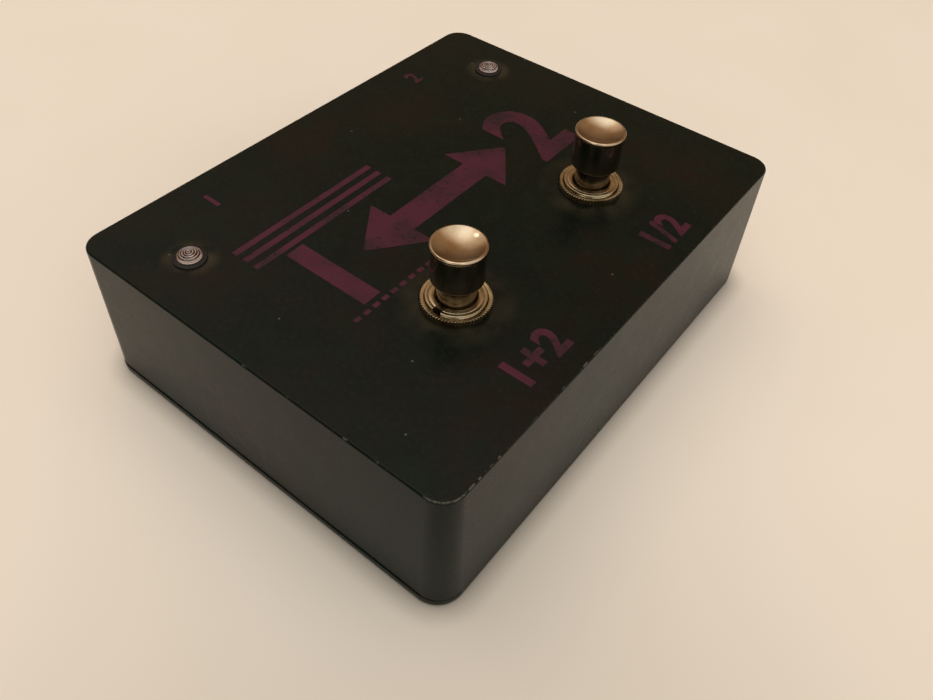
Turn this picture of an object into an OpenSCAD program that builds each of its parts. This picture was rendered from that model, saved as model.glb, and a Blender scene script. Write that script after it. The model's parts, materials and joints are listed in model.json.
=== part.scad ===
// Two-button amp selector pedal in a die-cast box.
// X runs to the player's right, Y to the rear where the sockets are, Z up.
// The origin is the middle of the lid's underside, which is the face the pedal stands on.

/* [Enclosure] */
// Width of the box at the lid
box_w = 119.5; // [118:0.5:140]
// Depth of the box at the lid
box_d = 94; // [92:0.5:110]
// Height from the underside of the lid to the top face
box_h = 34; // [34:0.5:46]
// How far each wall leans in between the lid and the top edge
wall_draft = 0.9; // [0.4:0.1:1.2]
// Thickness of the side walls
wall_t = 2.2; // [1.8:0.1:2.6]
// Thickness of the top face
panel_t = 2.4; // [2:0.1:2.8]
// Corner radius of the box at the lid
corner_r = 5.6; // [5:0.1:6.5]
// Rounding of the top edge
edge_r = 0.5; // [0.4:0.1:1]
// Radius of the screw posts in the corners
post_r = 4; // [3.6:0.1:4.2]

/* [Lid] */
// Thickness of the lid plate
lid_t = 2.2; // [2:0.1:2.6]
// Rounding of the lid's lower edge
lid_edge_r = 0.8; // [0.5:0.1:1.4]
// Width by which the lid stands proud of the walls
lid_over = 0.2; // [0:0.05:0.3]
// Height of the locating ribs inside the lid
rib_h = 1.6; // [1:0.1:2.4]
// Thickness of the locating ribs
rib_t = 1.6; // [1:0.1:1.8]
// Thread radius of the lid screws
screw_r = 1.5; // [1.2:0.05:1.6]
// Length of the lid screws
screw_l = 12; // [8:0.5:14]

/* [Footswitches] */
// Distance of each footswitch from the middle of the pedal
switch_x = 23.2; // [22:0.1:24]
// Distance of the footswitches in front of the middle of the pedal
switch_front = 19.2; // [17:0.1:20]
// Radius of the threaded bushing
bushing_r = 5.9; // [5.7:0.05:6.2]
// Height of the bushing above the top face
bushing_rise = 2.4; // [2.2:0.1:3]
// Radius of the plunger
plunger_r = 3.75; // [3.6:0.05:4]
// Travel of the plunger
travel = 3.2; // [2:0.1:3.4]
// Thickness of the knurled nut
knurl_nut_t = 1.7; // [1.5:0.1:1.9]
// Radius of the knurled nut over the teeth
knurl_nut_r = 7; // [6.8:0.1:8]
// Number of teeth round the knurled nut
knurl_teeth = 72; // [48:2:90]
// Depth of the knurling
knurl_depth = 0.28; // [0.15:0.01:0.35]
// Radius of the cap at its rim
cap_r = 5.25; // [5.1:0.05:5.6]
// Height of the cap
cap_h = 7.8; // [7.2:0.1:8]
// Depth of the hollow in the top of the cap
cap_dish = 1.1; // [0.7:0.1:1.3]
// Width of the switch base from left to right
base_w = 17.4; // [16.5:0.1:18]
// Depth of the switch base from front to rear
base_d = 15.2; // [14.6:0.1:16]
// Height of the switch base
base_h = 12; // [11:0.1:12.4]
// Spacing of the solder lugs from left to right
lug_pitch_x = 5.6; // [5:0.1:6]
// Spacing of the solder lugs from front to rear
lug_pitch_y = 4.8; // [4.2:0.1:5.2]

/* [Lamps] */
// Distance of each lamp from the side of the box
lamp_inset_x = 12.55; // [11.5:0.05:13]
// Distance of the lamps from the rear of the box
lamp_inset_y = 20.4; // [19.5:0.1:21]
// Radius of the lens at its flange
lens_r = 3.55; // [3.4:0.05:3.8]
// Radius of the ringed dome on the lens
lens_dome_r = 2.62; // [2.5:0.02:2.8]
// Radius of the lens barrel
lens_barrel_r = 3.1; // [2.9:0.05:3.2]
// Height of the lens above the top face
lens_rise = 2.1; // [1.8:0.1:2.4]
// Number of rings moulded in the lens
lens_rings = 5; // [3:1:6]
// Radius of the lamp inside the lens
lamp_r = 1.5; // [1.3:0.05:1.6]

/* [Sockets] */
// Distance between neighbouring quarter-inch sockets
socket_pitch = 32; // [29:0.5:33]
// Height of the socket axes above the lid's underside
socket_z = 17; // [15:0.5:19]
// Radius of the plug hole
socket_bore_r = 3.25; // [3.2:0.01:3.4]
// Radius of the socket's thread
socket_thread_r = 4.7; // [4.5:0.05:4.9]
// Width of the socket nut across its flats
socket_nut_af = 12.7; // [12.5:0.1:14]
// Thickness of the socket nut
socket_nut_t = 2.4; // [2:0.1:3]
// Depth of the socket frame behind the wall
socket_frame_l = 14; // [13:0.1:15]

/* [Power inlet] */
// Distance of the inlet in front of the middle of the right side
inlet_front = 0.5; // [0:0.5:3]
// Radius of the plug hole in the inlet
inlet_bore_r = 2.85; // [2.75:0.05:3]
// Radius of the inlet's centre pin
inlet_pin_r = 1.05; // [0.9:0.05:1.25]
// Radius of the inlet's thread
inlet_thread_r = 5.9; // [5.5:0.1:6.2]
// Radius of the inlet's outer flange
inlet_flange_r = 7; // [6.8:0.1:7.5]

/* [Battery] */
// Length of the battery from left to right
cell_l = 46.4; // [44:0.1:47]
// Depth of the battery from front to rear
cell_d = 26.5; // [25:0.1:27]
// Height of the battery as it lies
cell_h = 17.5; // [16.5:0.1:17.8]

/* [Circuit board] */
// Width of the board from left to right
board_w = 68; // [66:0.5:70]
// Reach of the board in front of the switch axes
board_front = 11.8; // [10:0.1:13]
// Reach of the board behind the switch axes
board_rear = 8.2; // [7.4:0.1:8.4]
// Thickness of the board
board_t = 1.6; // [1:0.1:1.8]

/* [Hidden] */
$fn = 64;

// Radial clearance between a shaft that moves and its hole
running_fit = 0.08;
// Radial clearance between a thread or a fixed barrel and its hole
fixed_fit = 0.05;
// Radial clearance of a hole drilled in the box
drill_fit = 0.15;
// Clearance of the locating ribs inside the wall
rib_fit = 0.25;
// Segments of a rounded box corner and of the rounding along its edge
corner_fn = 48;
edge_steps = 6;

body_h = box_h - lid_t;
draft_run = body_h - edge_r;
draft_angle = atan(wall_draft / draft_run);
corner_x = box_w / 2 - corner_r;
corner_y = box_d / 2 - corner_r;
wall_across = wall_t / cos(draft_angle);
inner_edge_r = 1;
panel_under = box_h - panel_t;
function wall_lean(z) = wall_draft * (z - lid_t) / draft_run;

// Lid screws
screw_hole_r = screw_r + fixed_fit;
screw_pass_r = screw_r + 0.25;
screw_head_r = 2.1 * screw_r;
screw_sunk = 0.1;
countersink_fit = 0.1;
slot_w = 0.8;
slot_depth = 0.9;
post_hole_l = screw_l - lid_t + 2;

// Footswitch, measured down from the top face
nut_foot_h = 0.5;
nut_foot_inset = 0.5;
lock_washer_t = 0.7;
lock_washer_r = bushing_r + 1.8;
hex_nut_t = 2;
hex_nut_af = 2 * bushing_r + 2.6;
thread_spare = 2.2;
frame_t = 1;
frame_leg_l = 8;
frame_leg_w = 11;
frame_top = -(panel_t + lock_washer_t + hex_nut_t + thread_spare);
base_top = frame_top - frame_t;
base_bottom = base_top - base_h;
bushing_wall = 0.95;
chamber_r = bushing_r - bushing_wall;
plunger_bore_r = plunger_r + running_fit;
plunger_bore_l = 3;
shoulder_z = bushing_rise - plunger_bore_l;
collar_gap = 0.05;
collar_t = 1.4;
collar_top = shoulder_z - collar_gap;
collar_bottom = collar_top - collar_t;
spigot_r = 2.2;
spigot_l = 3.9;
well_spare = 1;
well_depth = travel + well_spare;
well_floor = base_top - well_depth;
keyway_w = 1.8;
keyway_depth = 0.9;
bushing_chamfer = 0.4;
mouth_flare = 0.42;
mouth_r = plunger_bore_r + mouth_flare;
mouth_depth = 0.6;
cap_rest_gap = 1;
cap_bottom = bushing_rise + travel + cap_rest_gap;
cap_rise = cap_bottom + cap_h;
cap_rim_r = 0.42;
cap_rim_turn = 150;
cap_taper = 0.2;
cap_foot_r = cap_r - cap_taper;
cap_socket_l = 5;
cap_fit = 0.02;
base_chamfer = 1;

// Return spring in the bushing
spring_wire_r = 0.35;
spring_coil_r = chamber_r - 0.35 - spring_wire_r;
spring_turns = 6;
spring_rings = 12;
spring_seat_gap = 0.05;

// Solder lugs under the switch base
lug_w = 2.4;
lug_tail_w = 1.2;
lug_t = 0.6;
lug_l = 2.9;
lug_tail_l = 2.6;
lug_columns = 2;
lug_rows = 3;
lug_slot_fit = 0.1;

// Circuit board, hung on the lugs
board_top = box_h + base_bottom - lug_l;
board_rear_y = -switch_front + board_rear;
resistor_r = 1.2;
resistor_l = 6.4;
resistor_lead_r = 0.3;
resistor_lead_out = 1.6;
resistor_pitch = 3.6;
resistor_count = 4;
resistor_x = -2.4;
capacitor_r = 3.2;
capacitor_h = 11;
capacitor_x = 7;
capacitor_gap = 0.5;
capacitor_groove = 0.3;
capacitor_groove_z = 1.8;
// The parts on the board stand a little in front of the switch axes
board_parts_front = 3.5;
board_parts_y = -switch_front - board_parts_front;

// Lamps
lamp_x = box_w / 2 - lamp_inset_x;
lamp_y = box_d / 2 - lamp_inset_y;
lens_flange_t = 0.45;
lens_side_h = 0.55;
lens_ring_depth = 0.2;
barrel_below = 3;
barrel_l = panel_t + barrel_below;
lamp_hollow_r = lamp_r + fixed_fit;
lens_skin = 0.5;
lamp_collar_r = 1.9;
lamp_collar_t = 0.8;
clip_ring_w = 1.1;
clip_ring_r = lens_barrel_r + clip_ring_w;
clip_ring_t = 1.2;
lead_r = 0.25;
lead_half_pitch = 1;
lead_l = 3;

// Quarter-inch sockets, measured outwards from the wall's outer face
socket_washer_t = 0.8;
socket_washer_r = socket_thread_r + 2.3;
socket_lock_t = 0.6;
socket_lock_r = socket_thread_r + 2.4;
socket_shoulder_t = 1.2;
socket_shoulder_r = socket_thread_r + 2.7;
socket_front = socket_washer_t + socket_nut_t + 1.8;
socket_back = -wall_t - socket_lock_t - socket_shoulder_t;
socket_nut_chamfer = 0.6;
arm_w = 8;
arm_t = 1;
arm_low = -socket_shoulder_r;
wafer_l = 6;
wafer_t = 1.2;
cover_wafer_t = 0.9;
spring_strip_w = 4;
spring_strip_t = 0.4;
strip_low = arm_low + arm_t + wafer_t;
strip_front = socket_back - socket_frame_l + 1 + wafer_l;
plug_gap = 0.1;
strip_flat = 1;
strip_rise = 3.5;
strip_crest = 1.2;
strip_fall = 1.8;
strip_end_lift = 0.3;
tab_l = 3;
tab_w = 3;
tab_root = 0.5;

// Power inlet, measured outwards from the wall's outer face
inlet_z = 17;
inlet_flange_t = 1.8;
inlet_barrel_l = 9;
inlet_body_r = 4.6;
inlet_body_l = 14;
inlet_bore_l = 11;
inlet_pin_l = 9;
inlet_nut_af = 2 * inlet_thread_r + 2.6;
inlet_nut_t = 3;
inlet_lug_l = 4;
inlet_lug_w = 2.2;
inlet_lug_t = 0.5;
inlet_lug_y = 2.4;

// Battery behind the board, with its clip and snap connector
clip_t = 0.6;
clip_l = 14;
clip_leg_h = 7;
clip_to_board = 1;
cell_fit = 0.05;
cell_corner_r = 2.2;
cell_y = board_rear_y + clip_to_board + clip_t + cell_fit + cell_d / 2;
cell_z = lid_t + clip_t;
terminal_pitch = 12.7;
terminal_r = 2.9;
terminal_h = 2.2;
cup_r = 4.2;
cup_wall = 0.8;
cup_floor = 0.3;
snap_w = 25;
snap_h = 12;
snap_t = 4;
snap_corner_r = 1.5;
snap_gap = 0.3;
snap_pocket_r = cup_r + 0.3;
snap_pocket_l = 2.4;

// Insulated wires
wire_r = 0.55;
wire_sides = 6;
wire_steps = 4;
wire_lead = 3;
// Height of the wires where they cross the battery
wire_over = 2.2;
over_z = cell_z + cell_h + wire_over;
pad_pitch = 2.1;
pad_inset = 1.5;
// Spread and reach of the fan where wires come from the rear, and where they come from a side
rear_fan = [[3.2, 7], [1.8, 4.5]];
side_fan = [1.5, 3.6];
pad_y = board_rear_y - pad_inset;

// Placing

module at_switch(side) {
    translate([side * switch_x, -switch_front, box_h])
        rotate([0, 0, side > 0 ? 180 : 0])
            children();
}

module at_lamp(side) {
    translate([side * lamp_x, lamp_y, box_h])
        children();
}

// On the leaning rear wall, with +Y square to the wall
module at_socket(place) {
    translate([place * socket_pitch, box_d / 2 - wall_lean(socket_z), socket_z])
        rotate([draft_angle, 0, 0])
            children();
}

// On the leaning right wall, with +X square to the wall
module at_inlet() {
    translate([box_w / 2 - wall_lean(inlet_z), -inlet_front, inlet_z])
        rotate([0, -draft_angle, 0])
            children();
}

module at_corners() {
    for (sx = [-1, 1], sy = [-1, 1])
        translate([sx * corner_x, sy * corner_y, 0])
            children();
}

module along_y() {
    rotate([-90, 0, 0])
        children();
}

module along_x() {
    rotate([0, 90, 0])
        children();
}

// A point beside a rear socket, given in the socket's own frame
function socket_point(place, p) = [
    place * socket_pitch + p.x,
    box_d / 2 - wall_lean(socket_z) + p.y * cos(draft_angle) - p.z * sin(draft_angle),
    socket_z + p.y * sin(draft_angle) + p.z * cos(draft_angle)
];

// A point beside the power inlet, given in the inlet's own frame
function inlet_point(p) = [
    box_w / 2 - wall_lean(inlet_z) + p.x * cos(draft_angle) - p.z * sin(draft_angle),
    -inlet_front + p.y,
    inlet_z + p.x * sin(draft_angle) + p.z * cos(draft_angle)
];

// Shared shapes

module ring(outer_r, inner_r, h) {
    difference() {
        cylinder(r = outer_r, h = h);
        translate([0, 0, -1])
            cylinder(r = inner_r, h = h + 2);
    }
}

// A hexagonal nut with both ends of its corners chamfered
module hex_nut(af, bore_r, h, chamfer) {
    corner = af / 2 / cos(30);
    difference() {
        intersection() {
            cylinder(r = corner, h = h, $fn = 6);
            rotate_extrude()
                polygon([
                    [0, 0], [corner - chamfer, 0], [corner, chamfer / 2],
                    [corner, h - chamfer / 2], [corner - chamfer, h], [0, h]
                ]);
        }
        translate([0, 0, -1])
            cylinder(r = bore_r, h = h + 2);
    }
}

module rounded_square(w, d, r) {
    square([w - 2 * r, d], center = true);
    square([w, d - 2 * r], center = true);
    for (sx = [-1, 1], sy = [-1, 1])
        translate([sx * (w / 2 - r), sy * (d / 2 - r)])
            circle(r = r);
}

function chamfered_square(w, d, c) = [
    [-w / 2 + c, -d / 2], [w / 2 - c, -d / 2], [w / 2, -d / 2 + c], [w / 2, d / 2 - c],
    [w / 2 - c, d / 2], [-w / 2 + c, d / 2], [-w / 2, d / 2 - c], [-w / 2, -d / 2 + c]
];

// A quarter circle about a centre, from one angle to another
function arc(centre, r, from, to, steps) = [
    for (i = [0:steps])
        let (a = from + (to - from) * i / steps)
            centre + r * [cos(a), sin(a)]
];

// A box with round corners, from the profile of one corner about its own axis
module cornered_box(profile) {
    hull()
        at_corners()
            rotate_extrude($fn = corner_fn)
                polygon(profile);
}

// Tubes along a path

function unit(v) = v / norm(v);
function square_to(n, t) = unit(n - t * (n * t));

function tangents(path) = let (last = len(path) - 1) [
    for (i = [0:last])
        unit(path[min(i + 1, last)] - path[max(i - 1, 0)])
];

// A first direction across the path, carried along it without twist
function normals(along) = let (
    first = square_to(abs(along[0].x) < 0.9 ? [1, 0, 0] : [0, 1, 0], along[0])
) [
    for (i = 0, n = first; i < len(along); i = i + 1, n = i < len(along) ? square_to(n, along[i]) : n)
        n
];

module tube(path, r, sides) {
    along = tangents(path);
    across = normals(along);
    rings = len(path);
    points = [
        for (i = [0:rings - 1], k = [0:sides - 1])
            let (a = 360 * k / sides, side = cross(along[i], across[i]))
                path[i] + r * (cos(a) * across[i] + sin(a) * side)
    ];
    walls = [
        for (i = [0:rings - 2], k = [0:sides - 1])
            let (
                a = i * sides + k,
                b = i * sides + (k + 1) % sides
            )
                each [[a, a + sides, b], [b, a + sides, b + sides]]
    ];
    last = (rings - 1) * sides;
    ends = [
        for (k = [1:sides - 2])
            each [[0, k, k + 1], [last, last + k + 1, last + k]]
    ];
    polyhedron(points, concat(walls, ends), convexity = 4);
}

// A smooth line through a few points
function smooth_point(a, b, c, d, t) =
    0.5 * (2 * b + (c - a) * t + (2 * a - 5 * b + 4 * c - d) * t * t
        + (3 * b - a - 3 * c + d) * t * t * t);

// Straight along the first and last legs, so that the ends lie square on what they meet
function smooth_path(points) = let (last = len(points) - 1) concat(
    [points[0]],
    [
        for (i = [1:last - 2], step = [0:wire_steps - 1])
            smooth_point(points[i - 1], points[i], points[i + 1], points[i + 2], step / wire_steps)
    ],
    [points[last - 1], points[last]]
);

module wire(points) {
    tube(smooth_path(points), wire_r, wire_sides);
}

// Enclosure

outer_profile = concat(
    [[0, lid_t], [corner_r, lid_t]],
    arc([corner_r - wall_draft - edge_r, box_h - edge_r], edge_r, 0, 90, edge_steps),
    [[0, box_h]]
);

inner_foot = lid_t - 1;
inner_r = corner_r - wall_across;
inner_fillet_z = panel_under - inner_edge_r;
inner_fillet_r = inner_r - wall_lean(inner_fillet_z) - inner_edge_r;
inner_profile = concat(
    [[0, inner_foot], [inner_r - wall_lean(inner_foot), inner_foot]],
    arc([inner_fillet_r, inner_fillet_z], inner_edge_r, 0, 90, edge_steps),
    [[0, panel_under]]
);

module enclosure_body() {
    color([0.07, 0.07, 0.07])
        difference() {
            cornered_box(outer_profile);
            difference() {
                cornered_box(inner_profile);
                at_corners()
                    cylinder(r = post_r, h = box_h);
            }
            at_corners()
                translate([0, 0, lid_t - 1])
                    cylinder(r = screw_hole_r, h = post_hole_l + 1);
            for (side = [-1, 1]) {
                at_switch(side)
                    translate([0, 0, -panel_t - 1])
                        cylinder(r = bushing_r + drill_fit, h = panel_t + 2);
                at_lamp(side)
                    translate([0, 0, -panel_t - 1])
                        cylinder(r = lens_barrel_r + drill_fit, h = panel_t + 2);
            }
            for (place = [-1:1])
                at_socket(place)
                    along_y()
                        translate([0, 0, -wall_t - 1])
                            cylinder(r = socket_thread_r + drill_fit, h = wall_t + 2);
            at_inlet()
                along_x()
                    translate([0, 0, -wall_t - 1])
                        cylinder(r = inlet_thread_r + drill_fit, h = wall_t + 2);
        }
}

lid_corner_r = corner_r + lid_over;
lid_profile = concat(
    [[0, 0]],
    arc([lid_corner_r - lid_edge_r, lid_edge_r], lid_edge_r, -90, 0, edge_steps),
    [[lid_corner_r, lid_t], [0, lid_t]]
);

module bottom_lid() {
    rib_x = box_w / 2 - wall_across - rib_fit;
    rib_y = box_d / 2 - wall_across - rib_fit;
    rib_to_post = post_r + 0.4;
    color([0.08, 0.08, 0.08])
        difference() {
            union() {
                cornered_box(lid_profile);
                for (s = [-1, 1]) {
                    translate([corner_x - rib_to_post, s * (rib_y - rib_t / 2), lid_t])
                        mirror([1, 0, 0])
                            translate([0, -rib_t / 2, 0])
                                cube([2 * (corner_x - rib_to_post), rib_t, rib_h]);
                    translate([s * (rib_x - rib_t / 2) - rib_t / 2, -(corner_y - rib_to_post), lid_t])
                        cube([rib_t, 2 * (corner_y - rib_to_post), rib_h]);
                }
            }
            at_corners() {
                translate([0, 0, -1])
                    cylinder(r = screw_pass_r, h = lid_t + 2);
                translate([0, 0, -1])
                    cylinder(
                        r1 = screw_head_r + screw_sunk + countersink_fit + 1,
                        r2 = screw_pass_r,
                        h = screw_head_r + screw_sunk + countersink_fit + 1 - screw_pass_r
                    );
            }
        }
}

module lid_screw() {
    difference() {
        union() {
            translate([0, 0, screw_sunk])
                cylinder(r1 = screw_head_r, r2 = screw_r, h = screw_head_r - screw_r);
            translate([0, 0, screw_sunk])
                cylinder(r = screw_r, h = screw_l);
        }
        for (turn = [0, 90])
            rotate([0, 0, turn])
                translate([-screw_head_r * 0.6, -slot_w / 2, screw_sunk - 1])
                    cube([screw_head_r * 1.2, slot_w, slot_depth + 1]);
    }
}

module lid_screws() {
    color([0.62, 0.62, 0.6])
        at_corners()
            lid_screw();
}

// Footswitch, in a frame on its own axis with the top face at zero

module switch_cap() {
    rim_mid = cap_r - cap_rim_r;
    rim_z = cap_rise - cap_rim_r;
    edge = rim_mid + cap_rim_r * cos(cap_rim_turn);
    depth = rim_z + cap_rim_r * sin(cap_rim_turn) - (cap_rise - cap_dish);
    dish_r = ((edge * edge) / depth + depth) / 2;
    dish_half = asin(edge / dish_r);
    color([0.78, 0.76, 0.72])
        difference() {
            rotate_extrude()
                polygon(concat(
                    [[0, cap_bottom], [cap_foot_r, cap_bottom]],
                    arc([rim_mid, rim_z], cap_rim_r, 0, cap_rim_turn, edge_steps),
                    [for (i = [1:edge_steps])
                        let (a = dish_half * (1 - i / edge_steps))
                            [dish_r * sin(a), cap_rise - cap_dish + dish_r * (1 - cos(a))]]
                ));
            translate([0, 0, cap_bottom - 1])
                cylinder(r = plunger_r + cap_fit, h = cap_socket_l + 1);
        }
}

module switch_plunger() {
    color([0.7, 0.68, 0.64])
        rotate_extrude()
            polygon([
                [0, collar_bottom - spigot_l], [spigot_r, collar_bottom - spigot_l],
                [spigot_r, collar_bottom], [chamber_r - running_fit, collar_bottom],
                [chamber_r - running_fit, collar_top], [plunger_r, collar_top],
                [plunger_r, cap_bottom + cap_socket_l], [0, cap_bottom + cap_socket_l]
            ]);
}

spring_low = well_floor + spring_seat_gap + spring_wire_r;
spring_high = collar_bottom - spring_seat_gap - spring_wire_r;
spring_path = [
    for (i = [0:spring_turns * spring_rings])
        let (a = 360 * i / spring_rings)
            [spring_coil_r * cos(a), spring_coil_r * sin(a),
             spring_low + (spring_high - spring_low) * i / (spring_turns * spring_rings)]
];
spring_gap = min([
    for (i = [0:len(spring_path) - 1 - spring_rings / 2], k = [i + spring_rings / 2:len(spring_path) - 1])
        norm(spring_path[i] - spring_path[k]) - 2 * spring_wire_r
]);
echo(spring_least_gap = spring_gap);

module switch_spring() {
    color([0.75, 0.75, 0.75])
        tube(spring_path, spring_wire_r, wire_sides);
}

module switch_knurled_nut() {
    root_r = knurl_nut_r - knurl_depth;
    color([0.74, 0.71, 0.64])
        difference() {
            union() {
                cylinder(r = knurl_nut_r - nut_foot_inset, h = nut_foot_h);
                translate([0, 0, nut_foot_h])
                    linear_extrude(knurl_nut_t - nut_foot_h)
                        polygon([
                            for (i = [0:2 * knurl_teeth - 1])
                                let (r = i % 2 == 0 ? knurl_nut_r : root_r, a = 180 * i / knurl_teeth)
                                    [r * cos(a), r * sin(a)]
                        ]);
            }
            translate([0, 0, -1])
                cylinder(r = bushing_r + fixed_fit, h = knurl_nut_t + 2);
        }
}

module switch_bushing() {
    color([0.76, 0.73, 0.66])
        difference() {
            rotate_extrude()
                polygon([
                    [chamber_r, frame_top], [bushing_r, frame_top],
                    [bushing_r, bushing_rise - bushing_chamfer],
                    [bushing_r - bushing_chamfer, bushing_rise], [mouth_r, bushing_rise],
                    [plunger_bore_r, bushing_rise - mouth_depth], [plunger_bore_r, shoulder_z],
                    [chamber_r, shoulder_z]
                ]);
            translate([-bushing_r - 1, -keyway_w / 2, shoulder_z])
                cube([keyway_depth + 1, keyway_w, plunger_bore_l + 1]);
        }
}

module switch_lock_washer() {
    color([0.6, 0.6, 0.58])
        translate([0, 0, -panel_t - lock_washer_t])
            ring(lock_washer_r, bushing_r + fixed_fit, lock_washer_t);
}

module switch_hex_nut() {
    color([0.7, 0.69, 0.65])
        translate([0, 0, -panel_t - lock_washer_t - hex_nut_t])
            hex_nut(hex_nut_af, bushing_r + fixed_fit, hex_nut_t, 0.5);
}

// Steel bracket that holds the base under the bushing
module switch_frame() {
    leg_y = base_d / 2 + fixed_fit;
    color([0.66, 0.66, 0.64])
        difference() {
            union() {
                translate([-base_w / 2, -leg_y - frame_t, base_top])
                    cube([base_w, 2 * (leg_y + frame_t), frame_t]);
                for (s = [-1, 1])
                    translate([0, s * (leg_y + frame_t / 2), base_top + (frame_t - frame_leg_l) / 2])
                        cube([frame_leg_w, frame_t, frame_leg_l + frame_t], center = true);
            }
            translate([0, 0, base_top - 1])
                cylinder(r = chamber_r, h = frame_t + 2);
        }
}

module switch_base() {
    color([0.12, 0.2, 0.5])
        difference() {
            translate([0, 0, base_bottom])
                linear_extrude(base_h)
                    polygon(chamfered_square(base_w, base_d, base_chamfer));
            translate([0, 0, well_floor])
                cylinder(r = chamber_r, h = well_depth + 1);
        }
}

module at_lugs() {
    for (column = [0:lug_columns - 1], row = [0:lug_rows - 1])
        translate([
            (column - (lug_columns - 1) / 2) * lug_pitch_x,
            (row - (lug_rows - 1) / 2) * lug_pitch_y,
            0
        ])
            children();
}

module switch_lugs() {
    color([0.8, 0.78, 0.7])
        at_lugs() {
            translate([-lug_w / 2, -lug_t / 2, base_bottom - lug_l])
                cube([lug_w, lug_t, lug_l]);
            translate([-lug_tail_w / 2, -lug_t / 2, base_bottom - lug_l - lug_tail_l])
                cube([lug_tail_w, lug_t, lug_tail_l]);
        }
}

// Lamps, in a frame on the lamp's axis with the top face at zero

lens_edge_z = lens_flange_t + lens_side_h;
lens_ring_pitch = lens_dome_r / lens_rings;
// Share of a ring's width from its outer edge to its crest
lens_crest = 0.35;
function lens_z(r) = lens_rise - (lens_rise - lens_edge_z) * (r / lens_dome_r) * (r / lens_dome_r);

module lamp_lens() {
    color([0.75, 0.66, 0.66, 0.7])
        rotate_extrude()
            polygon(concat(
                [
                    [lamp_hollow_r, -barrel_l], [lens_barrel_r, -barrel_l], [lens_barrel_r, 0],
                    [lens_r, 0], [lens_r, lens_flange_t], [lens_dome_r, lens_flange_t],
                    [lens_dome_r, lens_edge_z - lens_ring_depth]
                ],
                [
                    for (i = [lens_rings:-1:1])
                        let (crest = (i - lens_crest) * lens_ring_pitch, inner = (i - 1) * lens_ring_pitch)
                            each [[crest, lens_z(crest)], [inner, lens_z(inner) - lens_ring_depth]]
                ],
                [[0, -lens_skin], [lamp_hollow_r, -lens_skin]]
            ));
}

module lamp_clip_ring() {
    color([0.1, 0.1, 0.1])
        translate([0, 0, -panel_t - clip_ring_t])
            ring(clip_ring_r, lens_barrel_r + fixed_fit, clip_ring_t);
}

module lamp() {
    dome_z = -lens_skin - fixed_fit - lamp_r;
    color([0.7, 0.12, 0.12, 0.8]) {
        rotate_extrude()
            polygon(concat(
                [
                    [0, -barrel_l - lamp_collar_t], [lamp_collar_r, -barrel_l - lamp_collar_t],
                    [lamp_collar_r, -barrel_l], [lamp_r, -barrel_l]
                ],
                arc([0, dome_z], lamp_r, 0, 90, 2 * edge_steps)
            ));
    }
}

lead_end = -barrel_l - lamp_collar_t - lead_l;

module lamp_leads() {
    color([0.8, 0.8, 0.78])
        for (side = [-1, 1], s = [-1, 1])
            at_lamp(side)
                translate([0, s * lead_half_pitch, lead_end])
                    cylinder(r = lead_r, h = lead_l);
}

// Rear sockets, each in a frame on its own axis with the wall's outer face at zero

module socket_sleeve() {
    color([0.72, 0.71, 0.68])
        difference() {
            union() {
                along_y()
                    translate([0, 0, socket_back])
                        cylinder(r = socket_shoulder_r, h = socket_shoulder_t);
                along_y()
                    translate([0, 0, socket_back])
                        cylinder(r = socket_thread_r, h = socket_front - socket_back);
                translate([-arm_w / 2, socket_back - socket_frame_l, arm_low])
                    cube([arm_w, socket_frame_l + socket_shoulder_t, arm_t]);
            }
            along_y()
                translate([0, 0, socket_back - 1])
                    cylinder(r = socket_bore_r, h = socket_front - socket_back + 2);
        }
}

module socket_nut() {
    color([0.74, 0.73, 0.7])
        translate([0, socket_washer_t, 0])
            along_y()
                hex_nut(socket_nut_af, socket_thread_r + fixed_fit, socket_nut_t, socket_nut_chamfer);
}

module socket_washers() {
    color([0.68, 0.67, 0.64])
        for (place = [-1:1])
            at_socket(place)
                along_y()
                    ring(socket_washer_r, socket_thread_r + fixed_fit, socket_washer_t);
}

module socket_lock_washers() {
    color([0.6, 0.6, 0.58])
        for (place = [-1:1])
            at_socket(place)
                translate([0, -wall_t - socket_lock_t, 0])
                    along_y()
                        ring(socket_lock_r, socket_thread_r + fixed_fit, socket_lock_t);
}

// Two phenolic wafers that hold the tip spring clear of the frame
module socket_wafers() {
    color([0.42, 0.24, 0.12])
        for (place = [-1:1])
            at_socket(place)
                for (low = [[strip_low - wafer_t, wafer_t], [strip_low + spring_strip_t, cover_wafer_t]])
                    translate([-arm_w / 2, strip_front - wafer_l, low[0]])
                        cube([arm_w, wafer_l, low[1]]);
}

// Bent leaf that touches the tip of a plug, with a solder tab at its side
module socket_tip_spring() {
    stack_back = strip_front - wafer_l;
    contact_z = -socket_bore_r - plug_gap - spring_strip_t;
    rise_y = stack_back - strip_flat;
    crest_y = rise_y - strip_rise;
    fall_y = crest_y - strip_crest;
    line = [
        [strip_front, strip_low], [rise_y, strip_low], [crest_y, contact_z],
        [fall_y, contact_z], [fall_y - strip_fall, strip_low + strip_end_lift]
    ];
    color([0.8, 0.74, 0.55]) {
        rotate([90, 0, 90])
            translate([0, 0, -spring_strip_w / 2])
                linear_extrude(spring_strip_w)
                    polygon(concat(
                        line,
                        [for (i = [len(line) - 1:-1:0]) line[i] + [0, spring_strip_t]]
                    ));
        translate([spring_strip_w / 2 - tab_root, stack_back + wafer_l / 2 - tab_w / 2, strip_low])
            cube([(arm_w - spring_strip_w) / 2 + tab_root + tab_l, tab_w, spring_strip_t]);
    }
}

// Power inlet, in a frame on its own axis with the wall's outer face at zero

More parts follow.
